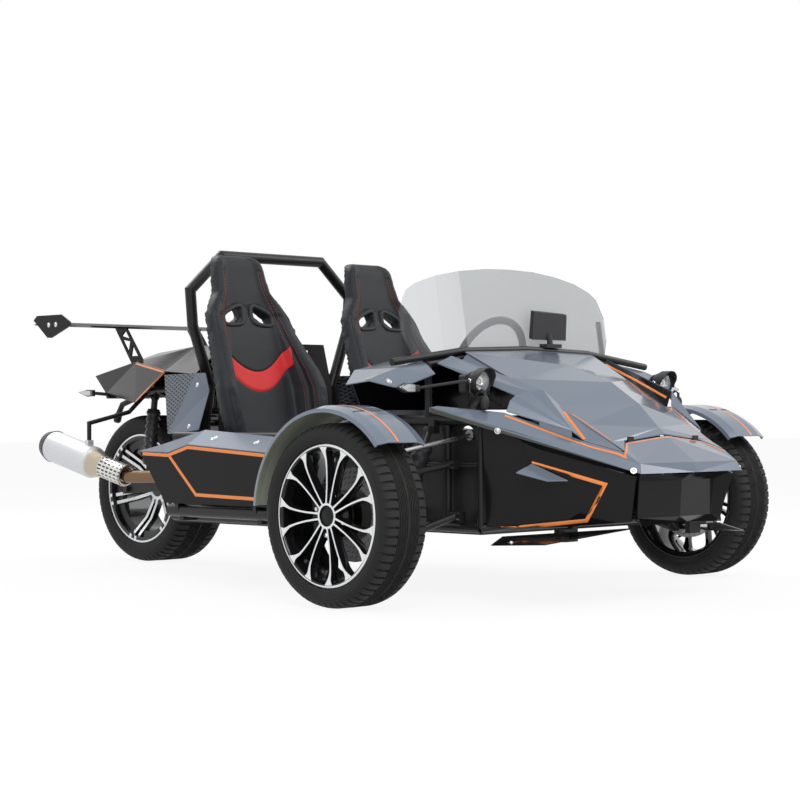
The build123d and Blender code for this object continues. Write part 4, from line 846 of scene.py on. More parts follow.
class Piece:
    """A mesh under construction, made of parts with numbered finishes."""

    def __init__(self, name: str) -> None:
        """Starts an empty piece.

        Args:
            name: what the piece is called.
        """
        self.name = name
        self.verts: list[Vector] = []
        self.faces: list[tuple[int, ...]] = []
        self.marks: list[int] = []

    def add(self, verts: Sequence[Vector], faces: Iterable[Sequence[int]], mark: int = 0) -> None:
        """Adds vertices and the faces between them.

        Args:
            verts: the points.
            faces: rows of indices into verts.
            mark: the finish of the faces.
        """
        start = len(self.verts)
        self.verts.extend(verts)
        for face in faces:
            self.faces.append(tuple(i + start for i in face))
            self.marks.append(mark)

    def grid(self, rows: Sequence[Sequence[Vector]], wrap_rows: bool = False, wrap_columns: bool = False,
             mark: int = 0) -> None:
        """Adds a sheet of quads over rows of points.

        Args:
            rows: the points.
            wrap_rows: True joins the last row to the first.
            wrap_columns: True joins the last column to the first.
            mark: its finish.
        """
        count, width = len(rows), len(rows[0])
        faces = []
        for i in range(count if wrap_rows else count - 1):
            for j in range(width if wrap_columns else width - 1):
                a, b = i * width + j, i * width + (j + 1) % width
                c, d = ((i + 1) % count) * width + (j + 1) % width, ((i + 1) % count) * width + j
                faces.append((a, b, c, d))
        self.add([p for row in rows for p in row], faces, mark)

    def turn(self, profile: Sequence[tuple[float, float]], origin: Vector, axis: Vector,
             segments: int = 16, mark: int = 0) -> None:
        """Adds a turned part.

        Args:
            profile: (radius, distance along the axis) corners.
            origin: where the distance is 0.
            axis: the way the distance grows.
            segments: faces around.
            mark: the finish.
        """
        along = axis.normalized()
        u, v = square_to(along)
        rows = []
        for r, d in profile:
            ring = [origin + along * d + (u * math.cos(a) + v * math.sin(a)) * r
                    for a in (2 * math.pi * k / segments for k in range(segments))]
            rows.append(ring)
        self.grid(rows, wrap_columns=True, mark=mark)

    def tube(self, points: Sequence[Vector], radius: float, segments: int = 10, mark: int = 0,
             closed: bool = False) -> None:
        """Adds a round tube along points.

        Args:
            points: the middle line.
            radius: the tube's radius.
            segments: the number of its sides.
            mark: its finish.
            closed: True joins its two ends.
        """
        rows = []
        count = len(points)
        for i, p in enumerate(points):
            before = points[(i - 1) % count] if closed or i else p
            after = points[(i + 1) % count] if closed or i < count - 1 else p
            along = (after - before).normalized()
            u, v = square_to(along)
            rows.append([p + (u * math.cos(a) + v * math.sin(a)) * radius
                         for a in (2 * math.pi * k / segments for k in range(segments))])
        self.grid(rows, wrap_rows=closed, wrap_columns=True, mark=mark)
        if not closed:
            self.add(rows[0], [tuple(range(segments))], mark)
            self.add(rows[-1], [tuple(reversed(range(segments)))], mark)

    def slab(self, outline: Sequence[Vector], shift: Vector, mark: int = 0) -> None:
        """Adds a flat plate.

        Args:
            outline: the corners of one face.
            shift: the way from that face to the other.
            mark: its finish.
        """
        count = len(outline)
        top = [p + shift for p in outline]
        sides = [(i, (i + 1) % count, (i + 1) % count + count, i + count) for i in range(count)]
        faces = [tuple(reversed(range(count))), tuple(range(count, 2 * count))] + sides
        self.add(list(outline) + top, faces, mark)

    def blank(self) -> bpy.types.Object:
        """Makes a bare closed object, for further shaping.

        Returns:
            The new object, with no finish and no body.
        """
        mesh = bpy.data.meshes.new(self.name)
        mesh.from_pydata([tuple(v) for v in self.verts], [], self.faces)
        work = bmesh.new()
        work.from_mesh(mesh)
        bmesh.ops.remove_doubles(work, verts=work.verts, dist=1e-5)
        bmesh.ops.recalc_face_normals(work, faces=work.faces)
        work.to_mesh(mesh)
        work.free()
        obj = bpy.data.objects.new(self.name, mesh)
        bpy.context.scene.collection.objects.link(obj)
        return obj

    def done(self, finishes: Sequence[bpy.types.Material], body: str,
             sharp: float = 35.0, bevel: float = 0.0) -> bpy.types.Object:
        """Makes the object.

        Args:
            finishes: the materials that the marks number.
            body: the frame body it moves with.
            sharp: edges that fold by more degrees stay sharp.
            bevel: width of a small edge rounding in metres.

        Returns:
            The new object.
        """
        mesh = bpy.data.meshes.new(self.name)
        mesh.from_pydata([tuple(v) for v in self.verts], [], self.faces)
        for finish in finishes:
            mesh.materials.append(finish)
        mesh.polygons.foreach_set("material_index", self.marks)
        work = bmesh.new()
        work.from_mesh(mesh)
        bmesh.ops.remove_doubles(work, verts=work.verts, dist=1e-6)
        bmesh.ops.recalc_face_normals(work, faces=work.faces)
        if bevel:
            edges = [e for e in work.edges if len(e.link_faces) == 2 and e.calc_face_angle(0.0) > 0.6]
            bmesh.ops.bevel(work, geom=edges, offset=bevel, segments=2, affect="EDGES", profile=0.6)
        work.to_mesh(mesh)
        work.free()
        mesh.shade_smooth()
        mesh.set_sharp_from_angle(angle=math.radians(sharp))
        obj = bpy.data.objects.new(self.name, mesh)
        bpy.context.scene.collection.objects.link(obj)
        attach(obj, body)
        return obj


class Skin:
    """The outer faces of some frame nodes, on which trim and bolts are laid."""

    def __init__(self, *nodes: str | bpy.types.Object) -> None:
        """Collects the faces that pieces are laid on.

        Args:
            *nodes: names of frame nodes, or new pieces.
        """
        verts: list[Vector] = []
        faces: list[tuple[int, ...]] = []
        for name in nodes:
            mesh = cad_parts[name].data if isinstance(name, str) else name.data
            start = len(verts)
            verts.extend(v.co.copy() for v in mesh.vertices)
            faces.extend(tuple(i + start for i in p.vertices) for p in mesh.polygons)
        self.tree = BVHTree.FromPolygons(verts, faces)

    def foot(self, point: Vector, outward: Vector) -> tuple[Vector, Vector]:
        """The nearest point on the skin and its normal.

        Args:
            point: a point near the skin.
            outward: the side on which trim lies.

        Returns:
            The point on the outer face and the normal towards that side.
        """
        start = point + outward.normalized() * 0.03
        place, normal, _, _ = self.tree.ray_cast(start, -outward.normalized(), 0.08)
        if place is None:
            place, normal, _, _ = self.tree.find_nearest(point)
        if normal.dot(outward) < 0:
            normal = -normal
        return place, normal

    def tape(self, piece: Piece, corners: Sequence[Vector], outward: Vector, width: float,
             lift: float = 0.0009, mark: int = 0, pace: float = 0.012) -> None:
        """Lays a crowned strip along corners.

        Args:
            piece: what the strip is added to.
            corners: the strip's middle line.
            outward: the side on which it lies.
            width: its width.
            lift: the height of its crown.
            mark: its finish.
            pace: the distance between its cross lines.
        """
        line: list[tuple[Vector, Vector, float]] = []
        runs = [(b - a).normalized() for a, b in zip(corners, corners[1:])]
        for i, (a, b) in enumerate(zip(corners, corners[1:])):
            steps = max(1, round((b - a).length / pace))
            for k in range(steps):
                if k == 0 and i > 0:
                    mean = (runs[i - 1] + runs[i]).normalized()
                    line.append((a, mean, 1.0 / max(0.4, mean.dot(runs[i]))))
                else:
                    line.append((a.lerp(b, k / steps), runs[i], 1.0))
        line.append((corners[-1], runs[-1], 1.0))
        rows = []
        for p, along, stretch in line:
            _, normal = self.foot(p, outward)
            across = along.cross(normal).normalized() * (width / 2.0 * stretch)
            row = []
            for share, rise in ((-1.0, -0.0006), (-0.96, lift * 0.6), (0.0, lift), (0.96, lift * 0.6), (1.0, -0.0006)):
                place, up = self.foot(p + across * share, outward)
                row.append(place + up * rise)
            rows.append(row)
        piece.grid(rows, mark=mark)
        piece.add(rows[0], [(0, 1, 2, 3, 4)], mark)
        piece.add(rows[-1], [(4, 3, 2, 1, 0)], mark)

    def bolt(self, piece: Piece, point: Vector, outward: Vector, radius: float = 0.0065, mark: int = 0) -> None:
        """Adds a domed socket screw on a washer at the skin's nearest point.

        Args:
            piece: what the screw is added to.
            point: a place near the skin.
            outward: the side on which it stands.
            radius: the radius of its head.
            mark: its finish.
        """
        place, normal = self.foot(point, outward)
        r = radius
        profile = [(0.0, 0.0), (r * 1.45, 0.0), (r * 1.45, r * 0.16), (r * 1.0, r * 0.16), (r * 0.97, r * 0.4),
                   (r * 0.75, r * 0.66), (r * 0.45, r * 0.74), (r * 0.42, r * 0.3), (0.0, r * 0.3)]
        piece.turn(profile, place - normal * 0.0003, normal, 14, mark)


def dress(finish: bpy.types.Material, *nodes: str) -> None:
    """Gives frame nodes a finish.

    Args:
        finish: the material.
        *nodes: the names of the nodes.
    """
    for name in nodes:
        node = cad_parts[name]
        if not node.material_slots:
            node.data.materials.append(finish)
        for place in node.material_slots:
            place.material = finish


class Finishes:
    """The shared finishes of the car, made once."""

    def __init__(self) -> None:
        """Builds the shared materials."""
        slate = (0.150, 0.180, 0.228)
        ink = (0.006, 0.006, 0.007)
        self.paint = Enamel("slate_paint", slate).build()
        self.deck = Enamel("deck_paint", slate, rough=0.42, coat=0.04, shine=0.14).build()
        self.fender = Enamel("fender_paint", slate, Outward.WHEEL, raw=(0.30, 0.32, 0.26)).build()
        self.tail = TailShell("tail_paint", ink, slate).build()
        self.black = Enamel("gloss_black", ink, Outward.ALL, rough=0.12, coat=0.12, shine=0.14).build()
        self.vent = Enamel("vent_paint", ink, Outward.ALL, coat=0.1, shine=0.12, flanks=slate).build()
        self.frame = PowderCoat("frame_coat", (0.010, 0.010, 0.011)).build()
        self.plate = PowderCoat("plate_coat", (0.020, 0.020, 0.022), 0.45, 500.0).build()
        self.plastic = Plastic("grained_plastic", (0.022, 0.022, 0.024)).build()
        self.steel = Metal("machined_steel", (0.55, 0.55, 0.56)).build()
        self.zinc = Metal("plated_screws", (0.78, 0.78, 0.79), 0.22, (60.0, 60.0, 60.0), stain_share=0.1).build()
        self.burnt = Metal("heated_steel", (0.62, 0.55, 0.45), 0.3, (60.0, 60.0, 60.0), (0.30, 0.2, 0.12),
                           0.6).build()
        self.cast = Metal("cast_alloy", (0.16, 0.16, 0.165), 0.55, (220.0, 220.0, 220.0), (0.05, 0.045, 0.04),
                          0.5).build()
        self.orange = Enamel("orange_tape", (0.78, 0.235, 0.055), Outward.ALL, rough=0.3).build()
        self.clear = ClearSheet("clear_screen", (0.62, 0.63, 0.64), 0.025).build()
        self.lens = Lens("lamp_lens", (0.85, 0.87, 0.9)).build()
        self.leather = Leather("seat_leather", 0.306).build()
        self.grip = Plastic("wheel_grip", (0.028, 0.030, 0.034), 0.5).build()
        self.spring = PowderCoat("spring_coat", (0.022, 0.022, 0.024), 0.28).build()
        self.silencer = Silencer("silencer").build()
        self.mesh = Grille("tail_mesh").build()
        self.coated = Enamel("wheel_coat", (0.007, 0.007, 0.008), Outward.ALL, rough=0.12, coat=0.3,
                             shine=0.25).build()
        self.machined = Metal("machined_face", (0.86, 0.87, 0.88), 0.3, (300.0, 60.0, 60.0), stain_share=0.0).build()
        self.chrome = Metal("lamp_reflector", (0.90, 0.90, 0.91), 0.12, (40.0, 40.0, 40.0), stain_share=0.0).build()
        self.glassy = ClearSheet("lamp_glass", (0.93, 0.94, 0.95), 0.06, through=(0.98, 0.98, 0.98)).build()


# ---------------------------------------------------------------------------
# stage
# ---------------------------------------------------------------------------
@dataclass
class Studio:
    """Floor, daylight and the camera."""

    eye: Point = (-4.7143, -5.0302, 0.5497)
    ahead: Point = (0.69819, 0.71588, 0.00666)
    roll: float = -0.00486
    lens: float = 91.25
    floor_size: float = 60.0
    world_level: float = 0.62
    lamps: list[tuple[Point, float, float]] = field(default_factory=lambda: [
        ((-3.5, -4.5, 4.5), 3.2, 210.0), ((4.5, -3.0, 4.0), 3.0, 120.0), ((0.0, 4.0, 5.0), 3.5, 150.0)])

    def build(self) -> None:
        """Makes the floor, world, lamps and camera."""
        self._floor()
        self._world()
        for place, size, power in self.lamps:
            light = bpy.data.lights.new("softbox", "AREA")
            light.energy = power
            light.size = size
            obj = bpy.data.objects.new("softbox", light)
            obj.location = place
            obj.rotation_euler = (Vector((0, 0, 0.4)) - Vector(place)).to_track_quat("-Z", "Y").to_euler()
            bpy.context.scene.collection.objects.link(obj)
        self._camera()
        bpy.context.scene.view_settings.view_transform = "Standard"

    def _floor(self) -> None:
        """A pale floor that shows white to the camera except for the shadow."""
        half = self.floor_size / 2.0
        mesh = bpy.data.meshes.new("studio_floor")
        corners = [(-half, -half, -0.001), (half, -half, -0.001), (half, half, -0.001), (-half, half, -0.001)]
        mesh.from_pydata(corners, [], [(0, 1, 2, 3)])
        floor = bpy.data.objects.new("studio_floor", mesh)
        bpy.context.scene.collection.objects.link(floor)
        g = Graph("floor_white")
        seen = self._seen(g)
        base = g.mix(g.noise(0.7, 2.0), (0.86, 0.86, 0.86), (0.88, 0.88, 0.88))
        diffuse = g.node("BsdfDiffuse", inputs={0: base})
        glow = g.node("Emission", inputs={0: (1.0, 1.0, 1.0), 1: 1.0})
        g.close(g.node("MixShader", inputs={0: seen * 0.9, 1: diffuse, 2: glow}))
        mesh.materials.append(g.material)

    @staticmethod
    def _seen(g: Graph) -> Value:
        """1 for rays that the camera, a mirror or clear glass sends.

        Args:
            g: the material under construction.

        Returns:
            1 or 0.
        """
        camera = g.node("LightPath", out="Is Camera Ray")
        glossy = g.node("LightPath", out="Is Glossy Ray")
        through = g.node("LightPath", out="Is Transmission Ray")
        return camera.highest(glossy).highest(through)

    def _world(self) -> None:
        """White surroundings with a moderate light of their own."""
        g = Graph("surroundings", world=True)
        level = self.world_level + self._seen(g) * (1.0 - self.world_level)
        bpy.context.scene.world = g.close(g.node("Background", inputs={0: (1.0, 1.0, 1.0), 1: level}))

    def _camera(self) -> None:
        """The camera, level but for a slight roll."""
        ahead = Vector(self.ahead).normalized()
        right = ahead.cross(Vector((0, 0, 1))).normalized()
        up = right.cross(ahead)
        c, s = math.cos(self.roll), math.sin(self.roll)
        right, up = right * c + up * s, up * c - right * s
        data = bpy.data.cameras.new("camera")
        data.lens = self.lens
        data.sensor_width = 36.0
        data.clip_end = 200.0
        camera = bpy.data.objects.new("camera", data)
        turn = Matrix((right, up, -ahead)).transposed().to_4x4()
        camera.matrix_world = Matrix.Translation(Vector(self.eye)) @ turn
        bpy.context.scene.collection.objects.link(camera)
        bpy.context.scene.camera = camera


# ---------------------------------------------------------------------------
# wheels
# ---------------------------------------------------------------------------
@dataclass
class Tyre:
    """A tyre with a swept tread, in place of its plain frame solid."""

    node: str
    body: str
    centre: Point
    radius: float
    width: float
    pitches: int = 16
    sweep: float = 2.5
    depth: float = 0.0055
    shoulder: float = 0.60
    ease_from: float = 0.9

    def profile(self) -> list[tuple[float, float, float]]:
        """Cross section from the middle to the bead.

        Returns:
            (distance from the middle, radius, groove depth) stations.
        """
        h, r = self.width / 2.0, self.radius
        rise = r - 0.262
        flat = h - 0.036
        stations = [(0.0, r, 0.0), (0.0025, r, 0.0), (0.005, r, 1.0)]
        stations += [(flat * k / 16.0, r - 0.0004 * k / 16.0, 1.0) for k in range(1, 17)]
        stations += [(h - 0.030, r - 0.0012, 1.0), (h - 0.024, r - 0.0026, 1.0), (h - 0.017, r - 0.0048, 0.9),
                     (h - 0.010, r - 0.0095, 0.6), (h - 0.0045, r - 0.0155, 0.35), (h - 0.0022, r - 0.022, 0.0),
                     (h - 0.0004, 0.236 + rise * 0.7, 0.0), (h - 0.0003, 0.228 + rise / 2.0, 0.0),
                     (h - 0.0022, 0.2185 + rise / 3.0, 0.0), (h - 0.0055, 0.2100, 0.0), (h - 0.009, 0.2062, 0.0),
                     (h - 0.0148, 0.2050, 0.0), (h - 0.0148, 0.1910, 0.0), (h - 0.028, 0.1910, 0.0)]
        return stations

    def _lean(self, t: float) -> float:
        """How far round the grooves have swept: evenly at first, then easing off at the shoulder.

        Args:
            t: the share of the way from the middle to the shoulder.

        Returns:
            The angle.
        """
        if t < self.ease_from:
            return self.sweep * t
        rest = 1.0 - self.ease_from
        return self.sweep * (1.0 - rest / 2.0 - (1.0 - t) ** 2 / (2.0 * rest))

    @staticmethod
    def _columns(inside: bool) -> list[tuple[float, float]]:
        """Places around one pitch and whether they are cut.

        Args:
            inside: True between the shoulders, where one long groove runs; False on the shoulder slots.

        Returns:
            (share of the pitch, cut) pairs.
        """
        places = [(k + share) / 4.0 for k in range(4) for share in (0.0, 0.70, 0.76, 0.94)]
        if inside:
            return [(share, 1.0 if 0.43 < share < 0.95 else 0.0) for share in places]
        return [(share, 1.0 if i % 4 > 1 else 0.0) for i, share in enumerate(places)]

    def build(self, finish: bpy.types.Material) -> bpy.types.Object:
        """Makes the tyre.

        Args:
            finish: the rubber.

        Returns:
            The new tyre, which replaces the node.
        """
        half = self.profile()
        stations = [(-x, r, g) for x, r, g in reversed(half[1:])] + half
        reach = self.width / 2.0 - 0.017
        rows = []
        for x, r, groove in stations:
            u = min(1.0, abs(x) / reach)
            t = min(1.0, u / self.shoulder)
            lean = self._lean(t)
            row = []
            for pitch in range(self.pitches):
                for share, cut in self._columns(t < 0.97):
                    a = 2.0 * math.pi * (pitch + share) / self.pitches + lean
                    rr = r - self.depth * groove * cut
                    row.append(Vector((self.centre[0] + x, self.centre[1] + rr * math.sin(a),
                                       self.centre[2] + rr * math.cos(a))))
            rows.append(row)
        piece = Piece(self.node + "_tread")
        piece.grid(rows, wrap_rows=True, wrap_columns=True)
        obj = piece.done([finish], self.body, sharp=28.0)
        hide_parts(self.node)
        return obj


@dataclass
class FrontRim:
    """A front rim with pairs of slim forked spokes, in place of its frame node.

    Profiles are (radius, distance outward) points.  The arm's rows give one spoke's middle line as its
    distance from the pair's middle line and from the axle, then half its width and its face's place.
    """

    node: str
    body: str
    centre: Point
    side: float
    pairs: int = 7
    turn: float = 10.0
    lip: tuple[tuple[float, float], ...] = ((0.2030, 0.0742), (0.2002, 0.0758), (0.1968, 0.0756))
    barrel: tuple[tuple[float, float], ...] = (
        (0.1968, 0.0756), (0.1930, 0.0735), (0.1900, 0.0690), (0.1880, 0.0600), (0.1845, 0.0480), (0.1800, 0.0300),
        (0.1790, -0.0300), (0.1830, -0.0600), (0.1900, -0.0700), (0.2000, -0.0742), (0.2030, -0.0738),
        (0.2030, -0.0706), (0.1903, -0.0700), (0.1903, 0.0690), (0.2025, 0.0698), (0.2030, 0.0742))
    boss: tuple[tuple[float, float], ...] = (
        (0.0, 0.008), (0.038, 0.008), (0.044, 0.020), (0.062, 0.022), (0.066, 0.032), (0.062, 0.044), (0.046, 0.050),
        (0.040, 0.062), (0.0378, 0.0700), (0.0366, 0.0712))
    ring: tuple[tuple[float, float], ...] = ((0.0366, 0.0712), (0.0300, 0.0712))
    cup: tuple[tuple[float, float], ...] = ((0.0300, 0.0712), (0.0292, 0.0700), (0.0290, 0.0590), (0.0, 0.0590))
    arm: tuple[tuple[float, float, float, float], ...] = (
        (0.0078, 0.0340, 0.0030, 0.0710), (0.0100, 0.0600, 0.0026, 0.0712), (0.0128, 0.0880, 0.0025, 0.0716),
        (0.0168, 0.1140, 0.0025, 0.0720), (0.0216, 0.1380, 0.0027, 0.0724), (0.0268, 0.1570, 0.0034, 0.0728),
        (0.0330, 0.1690, 0.0048, 0.0732), (0.0390, 0.1790, 0.0080, 0.0738), (0.0424, 0.1880, 0.0140, 0.0745),
        (0.0430, 0.1935, 0.0185, 0.0750))
    flank: tuple[float, float] = (0.0035, 0.0030)
    edge_drop: float = 0.010
    root_depth: float = 0.030
    tip_depth: float = 0.020

    def build(self, paint: Finishes) -> bpy.types.Object:
        """Makes the rim.

        Args:
            paint: the finishes.

        Returns:
            The new rim, which replaces the node.
        """
        piece = Piece(self.node + "_wheel")
        out, centre = Vector((self.side, 0, 0)), Vector(self.centre)
        for profile, mark in ((self.lip, 1), (self.barrel, 0), (self.boss, 0), (self.ring, 1), (self.cup, 0)):
            piece.turn(profile, centre, out, 112, mark)
        for pair in range(self.pairs):
            for hand in (-1.0, 1.0):
                self._spoke(piece, 2.0 * math.pi * pair / self.pairs - math.radians(self.turn), hand)
        obj = piece.done([paint.coated, paint.machined], self.body, sharp=24.0)
        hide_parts(self.node)
        return obj

    def _place(self, bearing: float, across: float, along: float, depth: float) -> Vector:
        """A point of the wheel.

        Args:
            bearing: the pair's middle line, in radians from up.
            across: distance from that line.
            along: distance from the axle along it.
            depth: distance outward from the wheel's middle.

        Returns:
            The point.
        """
        s, c = math.sin(bearing), math.cos(bearing)
        return Vector(self.centre) + Vector((self.side * depth, along * s + across * c, along * c - across * s))

    def _spoke(self, piece: Piece, bearing: float, hand: float) -> None:
        """One spoke: a machined face on a body with sloping flanks.

        Args:
            piece: what the spoke is added to.
            bearing: the pair's middle line, in radians from up.
            hand: the side of that line, 1 or -1.
        """
        faces, bodies = [], []
        count = len(self.arm)
        for i, (a, b, half, front) in enumerate(self.arm):
            a0, b0 = self.arm[max(0, i - 1)][:2]
            a1, b1 = self.arm[min(count - 1, i + 1)][:2]
            size = math.hypot(a1 - a0, b1 - b0)
            u, v = (b1 - b0) / size, -(a1 - a0) / size
            if i > count - 4:
                u, v = b / math.hypot(a, b), -a / math.hypot(a, b)
            deep = self.root_depth + (self.tip_depth - self.root_depth) * i / (count - 1)
            foot, edge = half + self.flank[0], half + self.flank[1]
            row = []
            for side, drop in ((-foot, deep), (-edge, self.edge_drop), (-half, 0.0), (half, 0.0),
                               (edge, self.edge_drop), (foot, deep)):
                row.append(self._place(bearing, hand * (a + u * side), b + v * side, front - drop))
            bodies.append(row)
            faces.append(row[2:4])
        piece.grid(faces, mark=1)
        piece.grid([row[:3] for row in bodies])
        piece.grid([row[3:] for row in bodies])
        piece.grid([[row[5], row[0]] for row in bodies])


@dataclass
class WheelFittings:
    """Nuts, centre cap and valve of one wheel."""

    name: str
    body: str
    centre: Point
    side: float
    hub_face: float
    nut_circle: float = 0.058
    nuts: int = 4
    valve: Point = (-0.018, 0.1, -0.142)

    def build(self, paint: Finishes) -> bpy.types.Object:
        """Makes the fittings.

        Args:
            paint: the finishes.

        Returns:
            The new piece.
        """
        piece = Piece(self.name)
        out = Vector((self.side, 0, 0))
        face = Vector(self.centre) + out * self.hub_face
        cap = [(0.0, 0.0), (0.0286, 0.0), (0.0286, 0.0050), (0.0270, 0.0072), (0.0240, 0.0064), (0.015, 0.0080),
               (0.0, 0.0086)]
        piece.turn(cap, face, out, 36, 1)
        for k in range(self.nuts):
            a = 2 * math.pi * (k - 0.2) / self.nuts
            spot = face + Vector((0, math.sin(a), math.cos(a))) * self.nut_circle - out * 0.016
            piece.turn([(0.0, 0.0), (0.0135, 0.0), (0.0135, 0.009), (0.0118, 0.0105), (0.0, 0.0105)], spot, out,
                       20, 1)
            piece.turn([(0.0, 0.0), (0.0098, 0.0), (0.0098, 0.004), (0.0082, 0.005), (0.0082, 0.015),
                        (0.0055, 0.018), (0.0, 0.0182)], spot, out, 6, 0)
        depth, y, z = self.valve
        valve = Vector(self.centre) + out * (self.hub_face + depth) + Vector((0, y, z))
        piece.turn([(0.0, 0.0), (0.004, 0.0), (0.004, 0.02), (0.0055, 0.021), (0.0055, 0.03), (0.0, 0.031)],
                   valve, out + Vector((0, -0.3, 0.4)), 10, 2)
        return piece.done([paint.zinc, paint.black, paint.plastic], self.body)


@dataclass
class Wheels:
    """All three wheels."""

    track: float = 1.613
    wheelbase: float = 1.897
    front_radius: float = 0.262
    rear_radius: float = 0.274

    def build(self, paint: Finishes) -> list[bpy.types.Object]:
        """Makes treads, fittings and finishes of the wheels.

        Args:
            paint: the shared finishes.

        Returns:
            The new pieces.
        """
        made = []
        for name, side in (("left", 1.0), ("right", -1.0)):
            centre = (side * self.track / 2.0, FRONT_AXLE_Y, self.front_radius)
            rubber = Rubber("rubber_front_" + name, centre[1:], self.front_radius).build()
            body = "wheel_front_" + name
            tyre = Tyre("tyre_front_" + name, body, centre, self.front_radius, 0.170)
            made.append(tyre.build(rubber))
            made.append(WheelFittings("hub_fittings_" + name, body, centre, side, 0.0592).build(paint))
            made.append(FrontRim("rim_front_" + name, body, centre, side).build(paint))
            dress(Disc("disc_face_" + name, centre[1:]).build(), "hub_disc_" + name)
        centre = (0.0, FRONT_AXLE_Y + self.wheelbase, self.rear_radius)
        rubber = Rubber("rubber_rear", centre[1:], self.rear_radius).build()
        made.append(Tyre("tyre_rear", "wheel_rear", centre, self.rear_radius, 0.215).build(rubber))
        face = WheelFace("wheel_face_rear", centre[1:], -1.0, 6, 15.8, (0.011, 0.040), (0.0135, 0.130),
                         (0.0155, 0.190), 0.0060, 0.0, (0.034, 0.046), 0.1965)
        dress(face.build(), "rim_rear")
        return made


# ---------------------------------------------------------------------------
# seats
# ---------------------------------------------------------------------------
@dataclass
class Seat:
    """One bucket seat: shaped foam under leather, with harness openings."""

    name: str
    middle: float
    back_rows: tuple[tuple[float, float, float, float], ...] = (
        (0.846, 0.330, 0.150, 0.050), (0.885, 0.400, 0.176, 0.070), (0.915, 0.480, 0.202, 0.085),
        (0.938, 0.560, 0.220, 0.098), (0.960, 0.640, 0.228, 0.105), (0.978, 0.700, 0.216, 0.094),
        (0.994, 0.765, 0.196, 0.066), (1.010, 0.820, 0.180, 0.045), (1.030, 0.880, 0.170, 0.030),
        (1.040, 0.925, 0.146, 0.022), (1.048, 0.965, 0.120, 0.016), (1.060, 1.015, 0.111, 0.012),
        (1.066, 1.045, 0.105, 0.011), (1.071, 1.068, 0.099, 0.009), (1.078, 1.084, 0.088, 0.006),
        (1.088, 1.094, 0.066, 0.003))
    pan_rows: tuple[tuple[float, float, float, float], ...] = (
        (0.556, 0.388, 0.166, 0.022), (0.575, 0.402, 0.178, 0.034), (0.640, 0.394, 0.196, 0.050),
        (0.720, 0.374, 0.204, 0.060), (0.800, 0.354, 0.200, 0.068), (0.872, 0.343, 0.172, 0.060))
    columns: int = 21
    thickness: float = 0.044
    pan_depth: float = 0.050
    hole_middle: tuple[float, float] = (0.062, 0.878)
    hole_half: tuple[float, float] = (0.039, 0.025)
    voxel: float = 0.0055
    cap: float = 0.007
    cloth_frames: int = 16

    @staticmethod
    def bolster(share: float) -> float:
        """How far a column stands out towards the sitter.

        Args:
            share: the place across the cushion, from -1 to 1.

        Returns:
            A share of the reach.
        """
        rise = max(0.0, (abs(share) - 0.56) / 0.28)
        rise = min(1.0, rise)
        top = rise * rise * (3.0 - 2.0 * rise)
        fall = max(0.0, (abs(share) - 0.9) / 0.1)
        return top * (1.0 - 0.22 * fall * fall)

    def _shares(self) -> list[float]:
        """Columns across, from one side to the other."""
        return [-1.0 + 2.0 * j / (self.columns - 1) for j in range(self.columns)]

    def _block(self, rows: Sequence[list[Vector]], shift: Vector) -> bpy.types.Object:
        """A closed mesh between rows of points and their shifted copies.

        Args:
            rows: the points of one face.
            shift: the way to the other face.

        Returns:
            The mesh, as a new object.
        """
        piece = Piece("blank")
        rings = [row + [p + shift for p in reversed(row)] for row in rows]
        piece.grid(rings, wrap_columns=True)
        count = len(rings[0])
        half = count // 2
        for ring, flip in ((rings[0], False), (rings[-1], True)):
            faces = []
            for j in range(half - 1):
                face = (j, j + 1, count - 2 - j, count - 1 - j)
                faces.append(tuple(reversed(face)) if flip else face)
            piece.add(ring, faces)
        return piece.blank()

    def _rows(self, table: Sequence[tuple[float, float, float, float]], forward: Vector) -> list[list[Vector]]:
        """Points of a cushion's face.

        Args:
            table: (y, z, half width, reach) rows.
            forward: the way the bolsters rise.

        Returns:
            Rows of points.
        """
        rows = []
        for y, z, half, reach in table:
            rows.append([at(self.middle + c * half, y, z) + forward * (reach * self.bolster(c))
                         for c in self._shares()])
        return rows

    def build(self, leather: bpy.types.Material, trim: bpy.types.Material,
              thread: bpy.types.Material) -> list[bpy.types.Object]:
        """Makes the seat.

        Args:
            leather: the cover.
            trim: the harness openings' frames.
            thread: the stitching.

        Returns:
            The seat and its fittings.
        """
        back = self._block(self._rows(self.back_rows, Vector((0, -1, 0))), Vector((0, self.thickness, 0)))
        pan = self._block(self._rows(self.pan_rows, Vector((0, 0, 1))), Vector((0, 0, -self.pan_depth)))
        cutters = [self._hole(side) for side in (-1.0, 1.0)]
        self._combine(back, pan, "UNION")
        for cutter in cutters:
            self._combine(back, cutter, "DIFFERENCE")
        self._apply(back, "REMESH", mode="VOXEL", voxel_size=self.voxel)
        self._plump(back)
        self._apply(back, "SUBSURF", levels=1, render_levels=1)
        self._apply(back, "SMOOTH", factor=0.5, iterations=7)
        self._seams(back)
        back.name = self.name
        back.data.name = self.name
        back.data.materials.clear()
        back.data.materials.append(leather)
        back.data.shade_smooth()
        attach(back, "chassis")
        return [back, self._frames(trim), self._stitches(back, thread)]

    def _hole(self, side: float) -> bpy.types.Object:
        """A cutter for one harness opening.

        Args:
            side: 1 or -1.

        Returns:
            The cutter.
        """
        piece = Piece("cutter")
        x, z = self.middle + side * self.hole_middle[0], self.hole_middle[1]
        a, b = self.hole_half
        outline = [at(x + side * dx, 0.9, z + dz) for dx, dz in
                   ((-a, b * 0.1), (-a * 0.8, b * 1.2), (-a * 0.3, b * 1.2), (a, -b * 0.1), (a, -b), (a * 0.2, -b))]
        piece.slab(outline, Vector((0, 0.3, 0)))
        return piece.blank()

